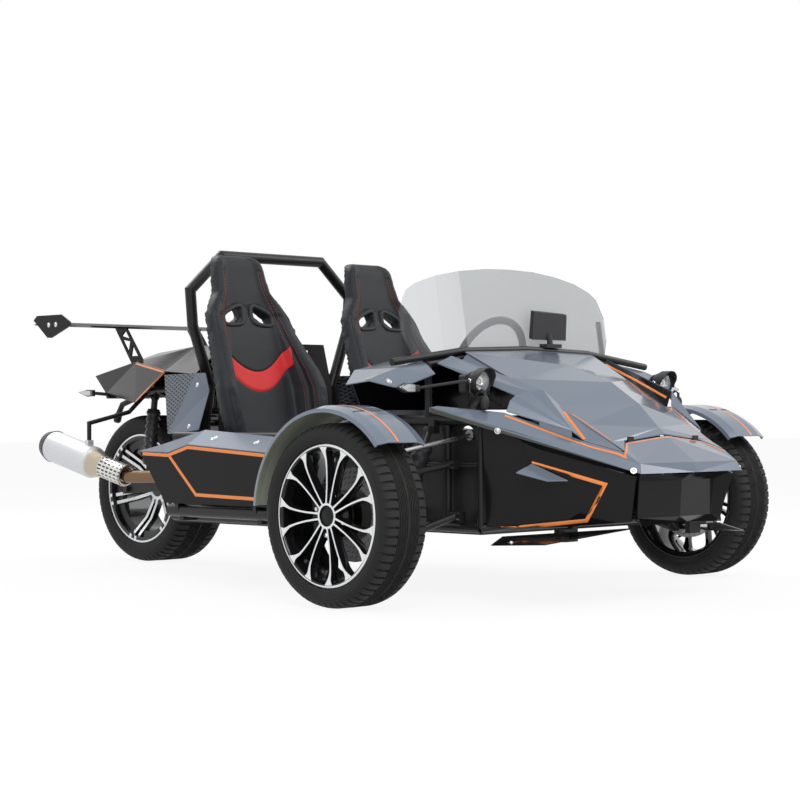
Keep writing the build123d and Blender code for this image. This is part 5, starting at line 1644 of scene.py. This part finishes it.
    def _combine(self, obj: bpy.types.Object, other: bpy.types.Object, operation: str) -> None:
        """Applies a boolean with another mesh, which is then removed."""
        self._apply(obj, "BOOLEAN", operation=operation, object=other, solver="EXACT")
        bpy.data.objects.remove(other)

    @staticmethod
    def _apply(obj: bpy.types.Object, kind: str, **settings: object) -> None:
        """Adds a modifier and applies it.

        Args:
            obj: the piece.
            kind: the modifier's type.
            **settings: its attributes.
        """
        modifier = obj.modifiers.new(kind.lower(), kind)
        for key, value in settings.items():
            setattr(modifier, key, value)
        graph = bpy.context.evaluated_depsgraph_get()
        mesh = bpy.data.meshes.new_from_object(obj.evaluated_get(graph))
        obj.modifiers.clear()
        obj.data = mesh

    def _plump(self, obj: bpy.types.Object) -> None:
        """Swells the foam under its cover with a short cloth run.

        Args:
            obj: the piece.
        """
        start = [v.co.copy() for v in obj.data.vertices]
        cloth = obj.modifiers.new("swell", "CLOTH")
        cloth.settings.use_pressure = True
        cloth.settings.uniform_pressure_force = 4.0
        cloth.settings.effector_weights.gravity = 0.0
        cloth.settings.quality = 5
        cloth.point_cache.frame_start = 1
        cloth.point_cache.frame_end = self.cloth_frames + 4
        scene = bpy.context.scene
        for number in range(1, self.cloth_frames + 1):
            scene.frame_set(number)
        graph = bpy.context.evaluated_depsgraph_get()
        swollen = obj.evaluated_get(graph).data
        ends = [v.co.copy() for v in swollen.vertices]
        obj.modifiers.clear()
        scene.frame_set(1)
        for vert, a, b in zip(obj.data.vertices, start, ends):
            move = b - a
            if move.length > self.cap:
                move = move.normalized() * self.cap
            vert.co = a + move

    def _seams(self, obj: bpy.types.Object) -> None:
        """Presses the sewn channels into the cover.

        Args:
            obj: the piece.
        """
        normals = [n.vector.copy() for n in obj.data.vertex_normals]
        for vert, normal in zip(obj.data.vertices, normals):
            depth = self._channel(vert.co)
            if depth:
                vert.co = vert.co - normal * depth

    def _channel(self, p: Vector) -> float:
        """Depth of the sewn channels at a point.

        Args:
            p: the point.

        Returns:
            The depth.
        """
        side = abs(p.x - self.middle)
        front = p.y - FRONT_AXLE_Y
        depth = 0.0
        for line_x, low, high in self._lines():
            if low < p.z < high:
                gap = (side - line_x(p.z)) / 0.004
                depth = max(depth, 0.0032 * math.exp(-gap * gap))
        lower, upper = self.chevron(side)
        if 0.60 < p.z < 0.80 and side < CHEVRON_REACH and front < 1.03:
            for edge in (lower, upper):
                gap = (p.z - edge) / 0.004
                depth = max(depth, 0.003 * math.exp(-gap * gap))
        return depth

    @staticmethod
    def chevron(side: float) -> tuple[float, float]:
        """Lower and upper edge of the coloured band at a distance from the middle."""
        return tuple(height + curve * side * side for height, curve in CHEVRON)

    def _lines(self) -> list[tuple[Callable[[float], float], float, float]]:
        """Seams that run up the back: distance from the middle by height, and their ends."""
        return [(lambda z: self._width(z) * 0.70, 0.42, 1.04), (lambda z: self._width(z) * 0.93, 0.42, 0.90)]

    def _width(self, z: float) -> float:
        """Half width of the back at a height.

        Args:
            z: the height.

        Returns:
            Half the width.
        """
        rows = self.back_rows
        for (_, z0, w0, _), (_, z1, w1, _) in zip(rows, rows[1:]):
            if z0 <= z <= z1:
                return w0 + (w1 - w0) * (z - z0) / (z1 - z0)
        return rows[0][2] if z < rows[0][1] else rows[-1][2]

    def _face_y(self, z: float) -> float:
        """Place of the back's face at a height, ahead of its leather.

        Args:
            z: the height.

        Returns:
            Its y, measured from the front axle.
        """
        rows = self.back_rows
        for (y0, z0, _, _), (y1, z1, _, _) in zip(rows, rows[1:]):
            if z0 <= z <= z1:
                return y0 + (y1 - y0) * (z - z0) / (z1 - z0)
        return rows[-1][0]

    def _frames(self, trim: bpy.types.Material) -> bpy.types.Object:
        """The plastic frames of the harness openings.

        Args:
            trim: their finish.

        Returns:
            The new piece.
        """
        piece = Piece(self.name + "_harness_frames")
        a, b = self.hole_half
        for side in (-1.0, 1.0):
            x, z = self.middle + side * self.hole_middle[0], self.hole_middle[1]
            ring = []
            for k in range(40):
                t = 2 * math.pi * k / 40
                power = 0.62
                cx = math.copysign(abs(math.cos(t)) ** power, math.cos(t))
                cz = math.copysign(abs(math.sin(t)) ** power, math.sin(t))
                dx = cx * (a + 0.006)
                dz = (cz * (0.92 - 0.24 * cx) - 0.34 * cx) * (b + 0.006)
                height = z + dz
                ring.append(at(x + side * dx, self._face_y(height) - 0.005, height))
            piece.tube(ring, 0.0085, 12, closed=True)
        return piece.done([trim], "chassis", sharp=60.0)

    def _stitches(self, seat: bpy.types.Object, thread: bpy.types.Material) -> bpy.types.Object:
        """Rows of stitches beside the seams that run up the back.

        Args:
            seat: the padded back.
            thread: their finish.

        Returns:
            The new piece.
        """
        tree = BVHTree.FromPolygons([v.co for v in seat.data.vertices], [p.vertices for p in seat.data.polygons])
        piece = Piece(self.name + "_stitches")
        for share in (0.665, 0.735):
            for side in (-1.0, 1.0):
                z = 0.44
                while z < 1.03:
                    ends = []
                    for height in (z, z + 0.0055):
                        spot = at(self.middle + side * self._width(height) * share, 0.5, height)
                        place, normal, _, _ = tree.ray_cast(spot, Vector((0, 1, 0)))
                        if place is not None and place.y < at(0, self._face_y(height) + 0.02, 0).y:
                            ends.append(place + normal * 0.0005)
                    if len(ends) == 2:
                        piece.tube(ends, 0.0008, 5)
                    z += 0.0095
        return piece.done([thread], "chassis", sharp=60.0)


# ---------------------------------------------------------------------------
# body trim
# ---------------------------------------------------------------------------
@dataclass
class Lamps:
    """Headlamps, front indicators and their brackets, in place of the plain lamp solids."""

    lens: Point = (0.425, -0.178, 0.643)
    shell: float = 0.0355
    visor: float = 0.0385
    post: Point = (0.435, -0.150, 0.5453)
    arrow: Point = (0.575, -0.055, 0.622)

    def build(self, paint: Finishes) -> list[bpy.types.Object]:
        """Makes the lamps of both sides.

        Args:
            paint: the finishes.

        Returns:
            The new pieces.
        """
        made = []
        for name, side in (("left", 1.0), ("right", -1.0)):
            piece = Piece("headlamp_" + name)
            self._housing(piece, side)
            self._bracket(piece, side)
            self._indicator(piece, side)
            made.append(piece.done([paint.plastic, paint.chrome, paint.glassy, paint.zinc], "chassis",
                                   sharp=30.0, bevel=0.0006))
            arrow = Piece("front_indicator_" + name)
            self._arrow(arrow, side)
            made.append(arrow.done([paint.plastic, paint.lens], "chassis", sharp=30.0, bevel=0.0016))
        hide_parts("headlamp_bodies")
        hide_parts("headlamp_bodies")
        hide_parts("lamp_lenses")
        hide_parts("lamp_lenses")
        return made

    def _middle(self, side: float) -> Vector:
        """The middle of a lens."""
        return at(side * self.lens[0], self.lens[1], self.lens[2])

    def _housing(self, piece: Piece, side: float) -> None:
        """Bowl with cooling ribs, reflector, bulb, glass and visor.

        Args:
            piece: what it is added to.
            side: 1 for the left, -1 for the right.
        """
        middle, ahead, r = self._middle(side), Vector((0, -1, 0)), self.shell
        bowl = [(0.0, -0.058), (0.015, -0.058), (0.019, -0.053), (0.019, -0.048), (0.024, -0.048), (0.024, -0.044),
                (0.020, -0.044), (0.020, -0.040), (0.028, -0.040), (0.028, -0.036), (0.024, -0.036), (0.030, -0.029),
                (r - 0.0015, -0.016), (r, -0.003), (r, 0.004), (r - 0.003, 0.0045), (r - 0.0042, 0.0005),
                (r - 0.0048, -0.003)]
        piece.turn(bowl, middle, ahead, 40)
        piece.turn([(r - 0.0046, -0.003), (0.0275, -0.010), (0.021, -0.018), (0.012, -0.024), (0.0, -0.026)],
                   middle, ahead, 40, 1)
        piece.turn([(0.0085, -0.025), (0.0085, -0.013), (0.0070, -0.010), (0.0040, -0.0085), (0.0, -0.008)],
                   middle, ahead, 20, 3)
        piece.turn([(r - 0.0044, -0.0012), (0.024, 0.0008), (0.014, 0.0022), (0.0, 0.0028), (0.0, 0.0008),
                    (0.014, 0.0002), (0.024, -0.0012), (r - 0.0044, -0.0030)], middle, ahead, 40, 2)
        rows = []
        for k in range(29):
            a = math.radians(-112.0 + 8.0 * k)
            out = Vector((math.sin(a), 0, math.cos(a)))
            front = 0.010 + 0.020 * max(0.0, math.cos(a)) ** 0.6
            near, far = middle + out * (self.visor - 0.0022), middle + out * self.visor
            rows.append([far - ahead * 0.006, far + ahead * front, near + ahead * front, near - ahead * 0.006])
        piece.grid(rows, wrap_columns=True)
        piece.add(rows[0], [(3, 2, 1, 0)])
        piece.add(rows[-1], [(0, 1, 2, 3)])

    def _bracket(self, piece: Piece, side: float) -> None:
        """Forked strap, post with its foot, and the ballast box behind.

        Args:
            piece: what it is added to.
            side: 1 for the left, -1 for the right.
        """
        middle = self._middle(side)
        foot = at(side * self.post[0], self.post[1], self.post[2])
        wide = self.shell + 0.004
        arms = [middle + Vector((x, 0.012, z)) for x, z in ((-wide, 0.006), (-wide, -0.034), (-wide * 0.6, -0.046),
                                                            (wide * 0.6, -0.046), (wide, -0.034), (wide, 0.006))]
        piece.tube(arms, 0.0035, 8)
        for x in (-1.0, 1.0):
            piece.turn([(0.0, -0.002), (0.0075, -0.002), (0.0075, 0.003), (0.0055, 0.005), (0.0, 0.005)],
                       middle + Vector((x * wide, 0.012, 0.0)), Vector((x, 0, 0)), 14, 3)
        neck = middle + Vector((0, 0.016, -0.046))
        piece.tube([neck + Vector((0, 0, 0.004)), neck + Vector((0, 0.004, -0.012)), foot + Vector((0, 0, 0.02)),
                    foot], 0.0085, 12)
        piece.turn([(0.0, 0.0), (0.018, 0.0), (0.018, 0.003), (0.010, 0.006), (0.010, 0.020), (0.0, 0.020)], foot,
                   Vector((0, 0, 1)), 20)
        box = middle + Vector((side * 0.030, 0.040, -0.030))
        corners = [box + Vector((x, 0, z)) for x, z in ((0, 0), (0.006, -0.006), (0.046, -0.006), (0.052, 0),
                                                        (0.052, 0.044), (0.046, 0.050), (0.006, 0.050), (0, 0.044))]
        piece.slab(corners, Vector((0, 0.026, 0)))
        piece.tube([box + Vector((0.026, 0.013, -0.004)), box + Vector((0.026, 0.013, -0.040)),
                    foot + Vector((0, 0.0, 0.060))], 0.0035, 8)

    def _indicator(self, piece: Piece, side: float) -> None:
        """Small drop-shaped lamp that hangs below the strap.

        Args:
            piece: what it is added to.
            side: 1 for the left, -1 for the right.
        """
        spot = at(side * 0.450, -0.212, 0.582)
        drop = [(0.0, -0.022), (0.008, -0.021), (0.0115, -0.014), (0.0122, 0.002), (0.0100, 0.012), (0.0045, 0.018),
                (0.0040, 0.030), (0.0, 0.030)]
        piece.turn(drop, spot, Vector((0, 0, 1)), 20)
        piece.tube([spot + Vector((0, 0, 0.028)), spot + Vector((0, 0.012, 0.036)),
                    self._middle(side) + Vector((side * 0.020, 0.012, -0.046))], 0.0032, 8)

    def _arrow(self, piece: Piece, side: float) -> None:
        """Arrow-shaped indicator on its arm.

        Args:
            piece: what it is added to.
            side: 1 for the left, -1 for the right.
        """
        hub = at(side * self.arrow[0], self.arrow[1], self.arrow[2])
        root = self._middle(side) + Vector((side * (self.shell + 0.004), 0.012, 0.0))
        piece.tube([root, root + Vector((side * 0.03, 0.012, -0.002)), hub], 0.0048, 10)
        piece.turn([(0.0, -0.012), (0.0085, -0.012), (0.0105, -0.009), (0.0105, 0.009), (0.0085, 0.012),
                    (0.0, 0.012)], hub, Vector((0, 1, 0)), 18)
        shape = ((0.006, -0.013), (0.042, -0.0125), (0.074, 0.003), (0.040, 0.016), (0.006, 0.013))
        piece.slab([hub + Vector((side * x, 0.0005, z)) for x, z in shape], Vector((0, 0.013, 0)))
        lens = [(0.010 + (x - 0.006) * 0.90, 0.0005 + z * 0.86) for x, z in shape]
        piece.slab([hub + Vector((side * x, 0.0003, z)) for x, z in lens], Vector((0, -0.010, 0)), 1)


@dataclass
class Tailpiece:
    """Heat shield on the exhaust and the rear indicators."""

    rear: Point = (-0.360, 1.3075, 0.440)
    tilt: float = 13.0
    shield: tuple[float, float] = (0.360, 0.492)
    tip_y: float = 2.160

    def build(self, paint: Finishes) -> list[bpy.types.Object]:
        """Makes the pieces.

        Args:
            paint: the finishes.

        Returns:
            The new pieces.
        """
        slope = math.radians(self.tilt)
        axis = Vector((0, -math.cos(slope), -math.sin(slope)))
        up = Vector((0, -math.sin(slope), math.cos(slope)))
        rear = Vector(self.rear)
        piece = Piece("heat_shield")
        rows = []
        for k in range(25):
            a = math.radians(-150.0 + 11.0 * k)
            out = Vector((1, 0, 0)) * math.sin(a) + up * math.cos(a)
            row = []
            for depth in (0.0, 0.0018):
                ring = []
                for share, flare in ((0.0, 0.003), (0.04, 0.0), (0.5, 0.0005), (0.96, 0.0), (1.0, 0.003)):
                    reach = self.shield[0] + (self.shield[1] - self.shield[0]) * share
                    ring.append(rear + axis * reach + out * (0.0395 + flare - depth))
                row += ring if depth == 0.0 else ring[::-1]
            rows.append(row)
        piece.grid(rows, wrap_columns=True)
        count = len(rows[0])
        for row, flip in ((rows[0], True), (rows[-1], False)):
            faces = [(j, j + 1, count - 2 - j, count - 1 - j) for j in range(count // 2 - 1)]
            piece.add(row, [tuple(reversed(f)) if flip else f for f in faces])
        for reach in (0.375, 0.477):
            for angle in (-100.0, -35.0):
                a = math.radians(angle)
                out = Vector((1, 0, 0)) * math.sin(a) + up * math.cos(a)
                piece.turn([(0.0, 0.0), (0.0062, 0.0), (0.0062, 0.0022), (0.0045, 0.0036), (0.0, 0.0036)],
                           rear + axis * reach + out * 0.0392, out, 14, 1)
        for reach in (0.372, 0.480):
            ring = [rear + axis * reach + (Vector((1, 0, 0)) * math.sin(a) + up * math.cos(a)) * 0.0330
                    for a in (2 * math.pi * k / 28 for k in range(28))]
            piece.tube(ring, 0.0060, 8, mark=2, closed=True)
        shield = HeatShield("shield_steel", self.rear, self.tilt).build()
        made = [piece.done([shield, paint.zinc, paint.burnt], "chassis", sharp=35.0)]
        lamps = Piece("rear_indicators")
        for side in (1.0, -1.0):
            root = at(side * 0.092, self.tip_y - 0.055, 0.628)
            knee = at(side * 0.135, self.tip_y - 0.040, 0.632)
            tip = at(side * 0.150, self.tip_y - 0.035, 0.633)
            lamps.tube([root, knee, tip], 0.0065, 12)
            shape = [(-0.010, -0.012), (0.030, -0.013), (0.078, 0.004), (0.030, 0.013), (-0.010, 0.012)]
            lamps.slab([tip + Vector((side * 0.004, y - 0.010, z)) for y, z in shape], Vector((side * 0.012, 0, 0)))
            lamps.slab([tip + Vector((side * 0.016, (y - 0.010) * 0.92, z * 0.84)) for y, z in shape],
                       Vector((side * 0.009, 0, 0)), 1)
        spine = [at(0.0, self.tip_y - 0.10, 0.612), at(0.0, self.tip_y - 0.02, 0.590),
                 at(0.0, self.tip_y + 0.005, 0.555)]
        lamps.tube(spine, 0.011, 12)
        lamps.turn([(0.0, 0.0), (0.013, 0.0), (0.015, 0.006), (0.015, 0.030), (0.011, 0.036), (0.0, 0.036)],
                   spine[-1], Vector((0, 0.35, -1)), 18)
        lamps.tube([at(-0.10, self.tip_y - 0.058, 0.620), at(0.10, self.tip_y - 0.058, 0.620)], 0.008, 12)
        made.append(lamps.done([paint.plastic, paint.lens], "chassis", sharp=30.0, bevel=0.0012))
        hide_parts("rear_lamps")
        return made


@dataclass
class NoseTrim:
    """Tape and screws on hood, nose cover, cowl and lower nose."""

    tape_width: float = 0.0085
    wide_tape: float = 0.0112

    def build(self, paint: Finishes) -> list[bpy.types.Object]:
        """Lays the tape and the screws.

        Args:
            paint: the finishes.

        Returns:
            The new pieces.
        """
        up = Vector((0, 0, 1))
        tape = Piece("nose_tape")
        cover = Skin("nose_cover")
        hood = Skin("hood")
        edge = [at(0.175, -0.512, 0.463), at(0.242, -0.562, 0.432), at(0.284, -0.447, 0.463),
                at(0.408, -0.250, 0.550)]
        front = [at(-0.172, -0.514, 0.464), at(0, -0.523, 0.480), at(0.172, -0.514, 0.464)]
        for side in (edge, mirrored(edge)):
            cover.tape(tape, side, up, self.tape_width)
        cover.tape(tape, front, up, self.tape_width * 0.6)
        vents = Skin("hood_vents")
        wall = [at(0.345, 0.0, 0.705), at(0.322, -0.15, 0.648), at(0.290, -0.290, 0.595)]
        vents.tape(tape, wall, Vector((-1.0, -0.3, 0.5)), self.tape_width * 0.9)
        vents.tape(tape, mirrored(wall), Vector((1.0, -0.3, 0.5)), self.tape_width * 0.9)
        faint = [at(0.226, -0.495, 0.470), at(0.232, -0.413, 0.520), at(0.238, -0.36, 0.545)]
        for side in (faint, mirrored(faint)):
            hood.tape(tape, side, up, self.tape_width * 0.4)
        flank = Piece("hood_flanks")
        for side in (1.0, -1.0):
            a, b, c, d, e, f = [at(side * x, y, z) for x, y, z in (
                (0.250, -0.310, 0.5672), (0.264, -0.333, 0.5670), (0.240, -0.413, 0.5112), (0.2735, -0.4365, 0.4680),
                (0.230, -0.500, 0.4622), (0.2325, -0.547, 0.4375))]
            g = at(side * 0.2975, -0.415, 0.4935)
            down = Vector((-side * 0.0012, 0.0, -0.0022))
            for facet in ((a, b, c), (b, d, c), (c, d, e), (e, d, f), (b, g, d)):
                flank.slab(facet, down)
        panels = flank.done([paint.paint], "chassis", sharp=20.0)
        flanks = Skin(panels)
        for side in (1.0, -1.0):
            line = [at(side * 0.2605, -0.332, 0.566), at(side * 0.2690, -0.434, 0.471)]
            flanks.tape(tape, line, Vector((side * 0.7, -0.2, 0.7)), 0.010)
        lower = Skin("lower_nose")
        side_out = Vector((0.75, -0.6, 0))
        trace = [at(0.3886, -0.3373, 0.4062), at(0.2726, -0.5119, 0.3454), at(0.2894, -0.4563, 0.2414),
                 at(0.4196, -0.2443, 0.2147)]
        lower.tape(tape, trace, side_out, self.wide_tape, lift=0.0022)
        lower.tape(tape, mirrored(trace), Vector((-0.75, -0.6, 0)), self.wide_tape, lift=0.0022)
        tape_obj = tape.done([paint.orange], "chassis", sharp=60.0)
        screws = Piece("nose_screws")
        for x, y, z in ((0.452, -0.262, 0.50), (0.262, -0.604, 0.395)):
            for side in (1.0, -1.0):
                cover.bolt(screws, at(side * x, y, z), Vector((side * 0.7, -0.4, 0.5)), 0.0065)
        for side in (1.0, -1.0):
            lower.bolt(screws, at(side * 0.47, -0.33, 0.18), up, 0.007)
        cowl = Skin("cowl")
        for x, y, z in ((0.63, 0.0, 0.64), (0.40, 0.06, 0.715)):
            for side in (1.0, -1.0):
                cowl.bolt(screws, at(side * x, y, z), up, 0.006)
        return [panels, tape_obj, screws.done([paint.zinc], "chassis", sharp=40.0)]


@dataclass
class SideTrim:
    """Tape and screws on side pods, tail and fenders, with dark strips on the fenders as painted shade in their slots;
    the stripe and the slots' turn are angles from up.
    """

    width: float = 0.011
    axle_height: float = 0.262
    fender_radius: float = 0.312
    fender_middle: float = 0.818
    stripe: tuple[float, float] = (-84.0, 47.4)
    stripe_steps: int = 22
    slot_turn: float = -0.33

    def build(self, paint: Finishes) -> list[bpy.types.Object]:
        """Lays the tape and the screws.

        Args:
            paint: the finishes.

        Returns:
            The new pieces.
        """
        made = []
        tape = Piece("side_tape")
        screws = Piece("side_screws")
        pod, cap, tail = Skin("pod_sides"), Skin("pod_caps"), Skin("tail_body")
        for side in (1.0, -1.0):
            out = Vector((side, 0, 0))
            top = [at(side * 0.64, 1.165, 0.421), at(side * 0.64, 1.030, 0.417), at(side * 0.64, 0.927, 0.444),
                   at(side * 0.64, 0.531, 0.421)]
            inner = [at(side * 0.64, 1.022, 0.414), at(side * 0.64, 0.885, 0.292), at(side * 0.64, 0.54, 0.285)]
            pod.tape(tape, top, out, self.width)
            pod.tape(tape, inner, out, self.width)
            for y in (0.84, 0.63):
                cap.bolt(screws, at(side * 0.60, y, 0.478), Vector((0, 0, 1)), 0.0075)
            line = [at(side * 0.205, 1.782, 0.741), at(side * 0.317, 1.461, 0.700)]
            tail.tape(tape, line, Vector((side, 0, 0.5)), self.width)
            drop = [at(side * 0.318, 1.465, 0.698), at(side * 0.249, 1.722, 0.597)]
            tail.tape(tape, drop, Vector((side, 0, -0.2)), self.width)
            tail.bolt(screws, at(side * 0.455, 1.15, 0.51), out, 0.006)
            tail.bolt(screws, at(side * 0.42, 1.16, 0.65), out, 0.006)
        made.append(tape.done([paint.orange], "chassis", sharp=60.0))
        wing = Skin("rear_wing")
        for side in (1.0, -1.0):
            for y in (1.818, 1.862):
                wing.bolt(screws, at(side * 0.531, y, 0.874), Vector((side, 0, 0)), 0.0062)
        made.append(screws.done([paint.zinc], "chassis", sharp=40.0))
        start, end = self.stripe
        stripe = [start + (end - start) * k / self.stripe_steps for k in range(self.stripe_steps + 1)]
        for name, side in (("left", 1.0), ("right", -1.0)):
            band = Piece("fender_tape_" + name)
            skin = Skin("fender_" + name)
            line = [at(side * self.fender_middle, -self.fender_radius * math.sin(math.radians(a)),
                       self.axle_height + self.fender_radius * math.cos(math.radians(a)))
                    for a in stripe]
            for a, b in zip(line, line[1:]):
                middle = (a + b) / 2.0 - Vector((side * self.fender_middle, FRONT_AXLE_Y, self.axle_height))
                skin.tape(band, [a, b], Vector((0, middle.y, middle.z)), 0.0075)
            made.append(band.done([paint.orange], "steer_" + name, sharp=60.0))
            # painted shade: dark plastic strips stand where the fender slots are, in place of the shade inside them
            slots = Piece("fender_slots_" + name)
            out = Vector((0, math.sin(self.slot_turn), math.cos(self.slot_turn)))
            spot = at(0, 0, self.axle_height) + out * self.fender_radius
            for x in (side * 0.780, side * 0.846):
                ends = [Vector((x - 0.020, spot.y, spot.z)), Vector((x + 0.020, spot.y, spot.z))]
                skin.tape(slots, ends, out, 0.0075, lift=0.0010)
            made.append(slots.done([paint.plastic], "steer_" + name, sharp=60.0))
        return made


class Roadster:
    """The whole car."""

    def __init__(self) -> None:
        """Makes the finishes."""
        self.paint = Finishes()

    def dress_nodes(self) -> None:
        """Gives every kept frame node its finish."""
        p = self.paint
        dress(p.paint, "hood", "nose_cover", "hood_fairings", "cowl", "nose_blades")
        dress(p.deck, "pod_caps")
        dress(p.fender, "fender_left", "fender_right")
        dress(p.tail, "tail_body")
        dress(p.black, "pod_sides", "lower_nose", "dash_panel", "rear_wing")
        dress(p.vent, "hood_vents")
        dress(p.frame, "lower_frame", "upper_frame", "roll_hoop", "sills", "screen_tube", "wishbones", "swingarm",
              "steering_shaft", "steering_rack", "knuckle_left", "knuckle_right")
        dress(p.plate, "floor_pan", "tub_panels", "pedals")
        dress(p.mesh, "tail_grilles")
        dress(p.plastic, "headlamp_bodies", "display", "rear_lamps")
        dress(p.lens, "lamp_lenses")
        dress(p.steel, "tie_rods")
        dress(p.spring, "coil_overs", "rear_shocks")
        dress(p.cast, "engine", "caliper_left", "caliper_right")
        dress(p.silencer, "exhaust")
        dress(p.clear, "windscreen")
        dress(p.grip, "steering_wheel")

    def build(self) -> None:
        """Builds every sub-assembly in order and logs its pieces."""
        self.dress_nodes()
        p = self.paint
        batches = {"wheels": lambda: Wheels().build(p), "nose": lambda: NoseTrim().build(p),
                   "lamps": lambda: Lamps().build(p), "sides": lambda: SideTrim().build(p),
                   "tail": lambda: Tailpiece().build(p)}
        for name, make in batches.items():
            for piece in make():
                LOG.info("%s: %s, %d faces", name, piece.name, len(piece.data.polygons))
        thread = Plain("thread", (0.35, 0.06, 0.05), 0.6).build()
        seats = []
        for name, middle in (("left", 0.306), ("right", -0.306)):
            seats += Seat("seat_" + name, middle).build(p.leather, p.plastic, thread)
        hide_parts("seats")
        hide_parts("seats")
        for piece in seats:
            LOG.info("seats: %s, %d faces", piece.name, len(piece.data.polygons))


def main() -> None:
    """Builds the stage and the car."""
    logging.basicConfig(level=logging.INFO, format="%(message)s")
    Studio().build()
    Roadster().build()


if __name__ == "__main__":
    main()
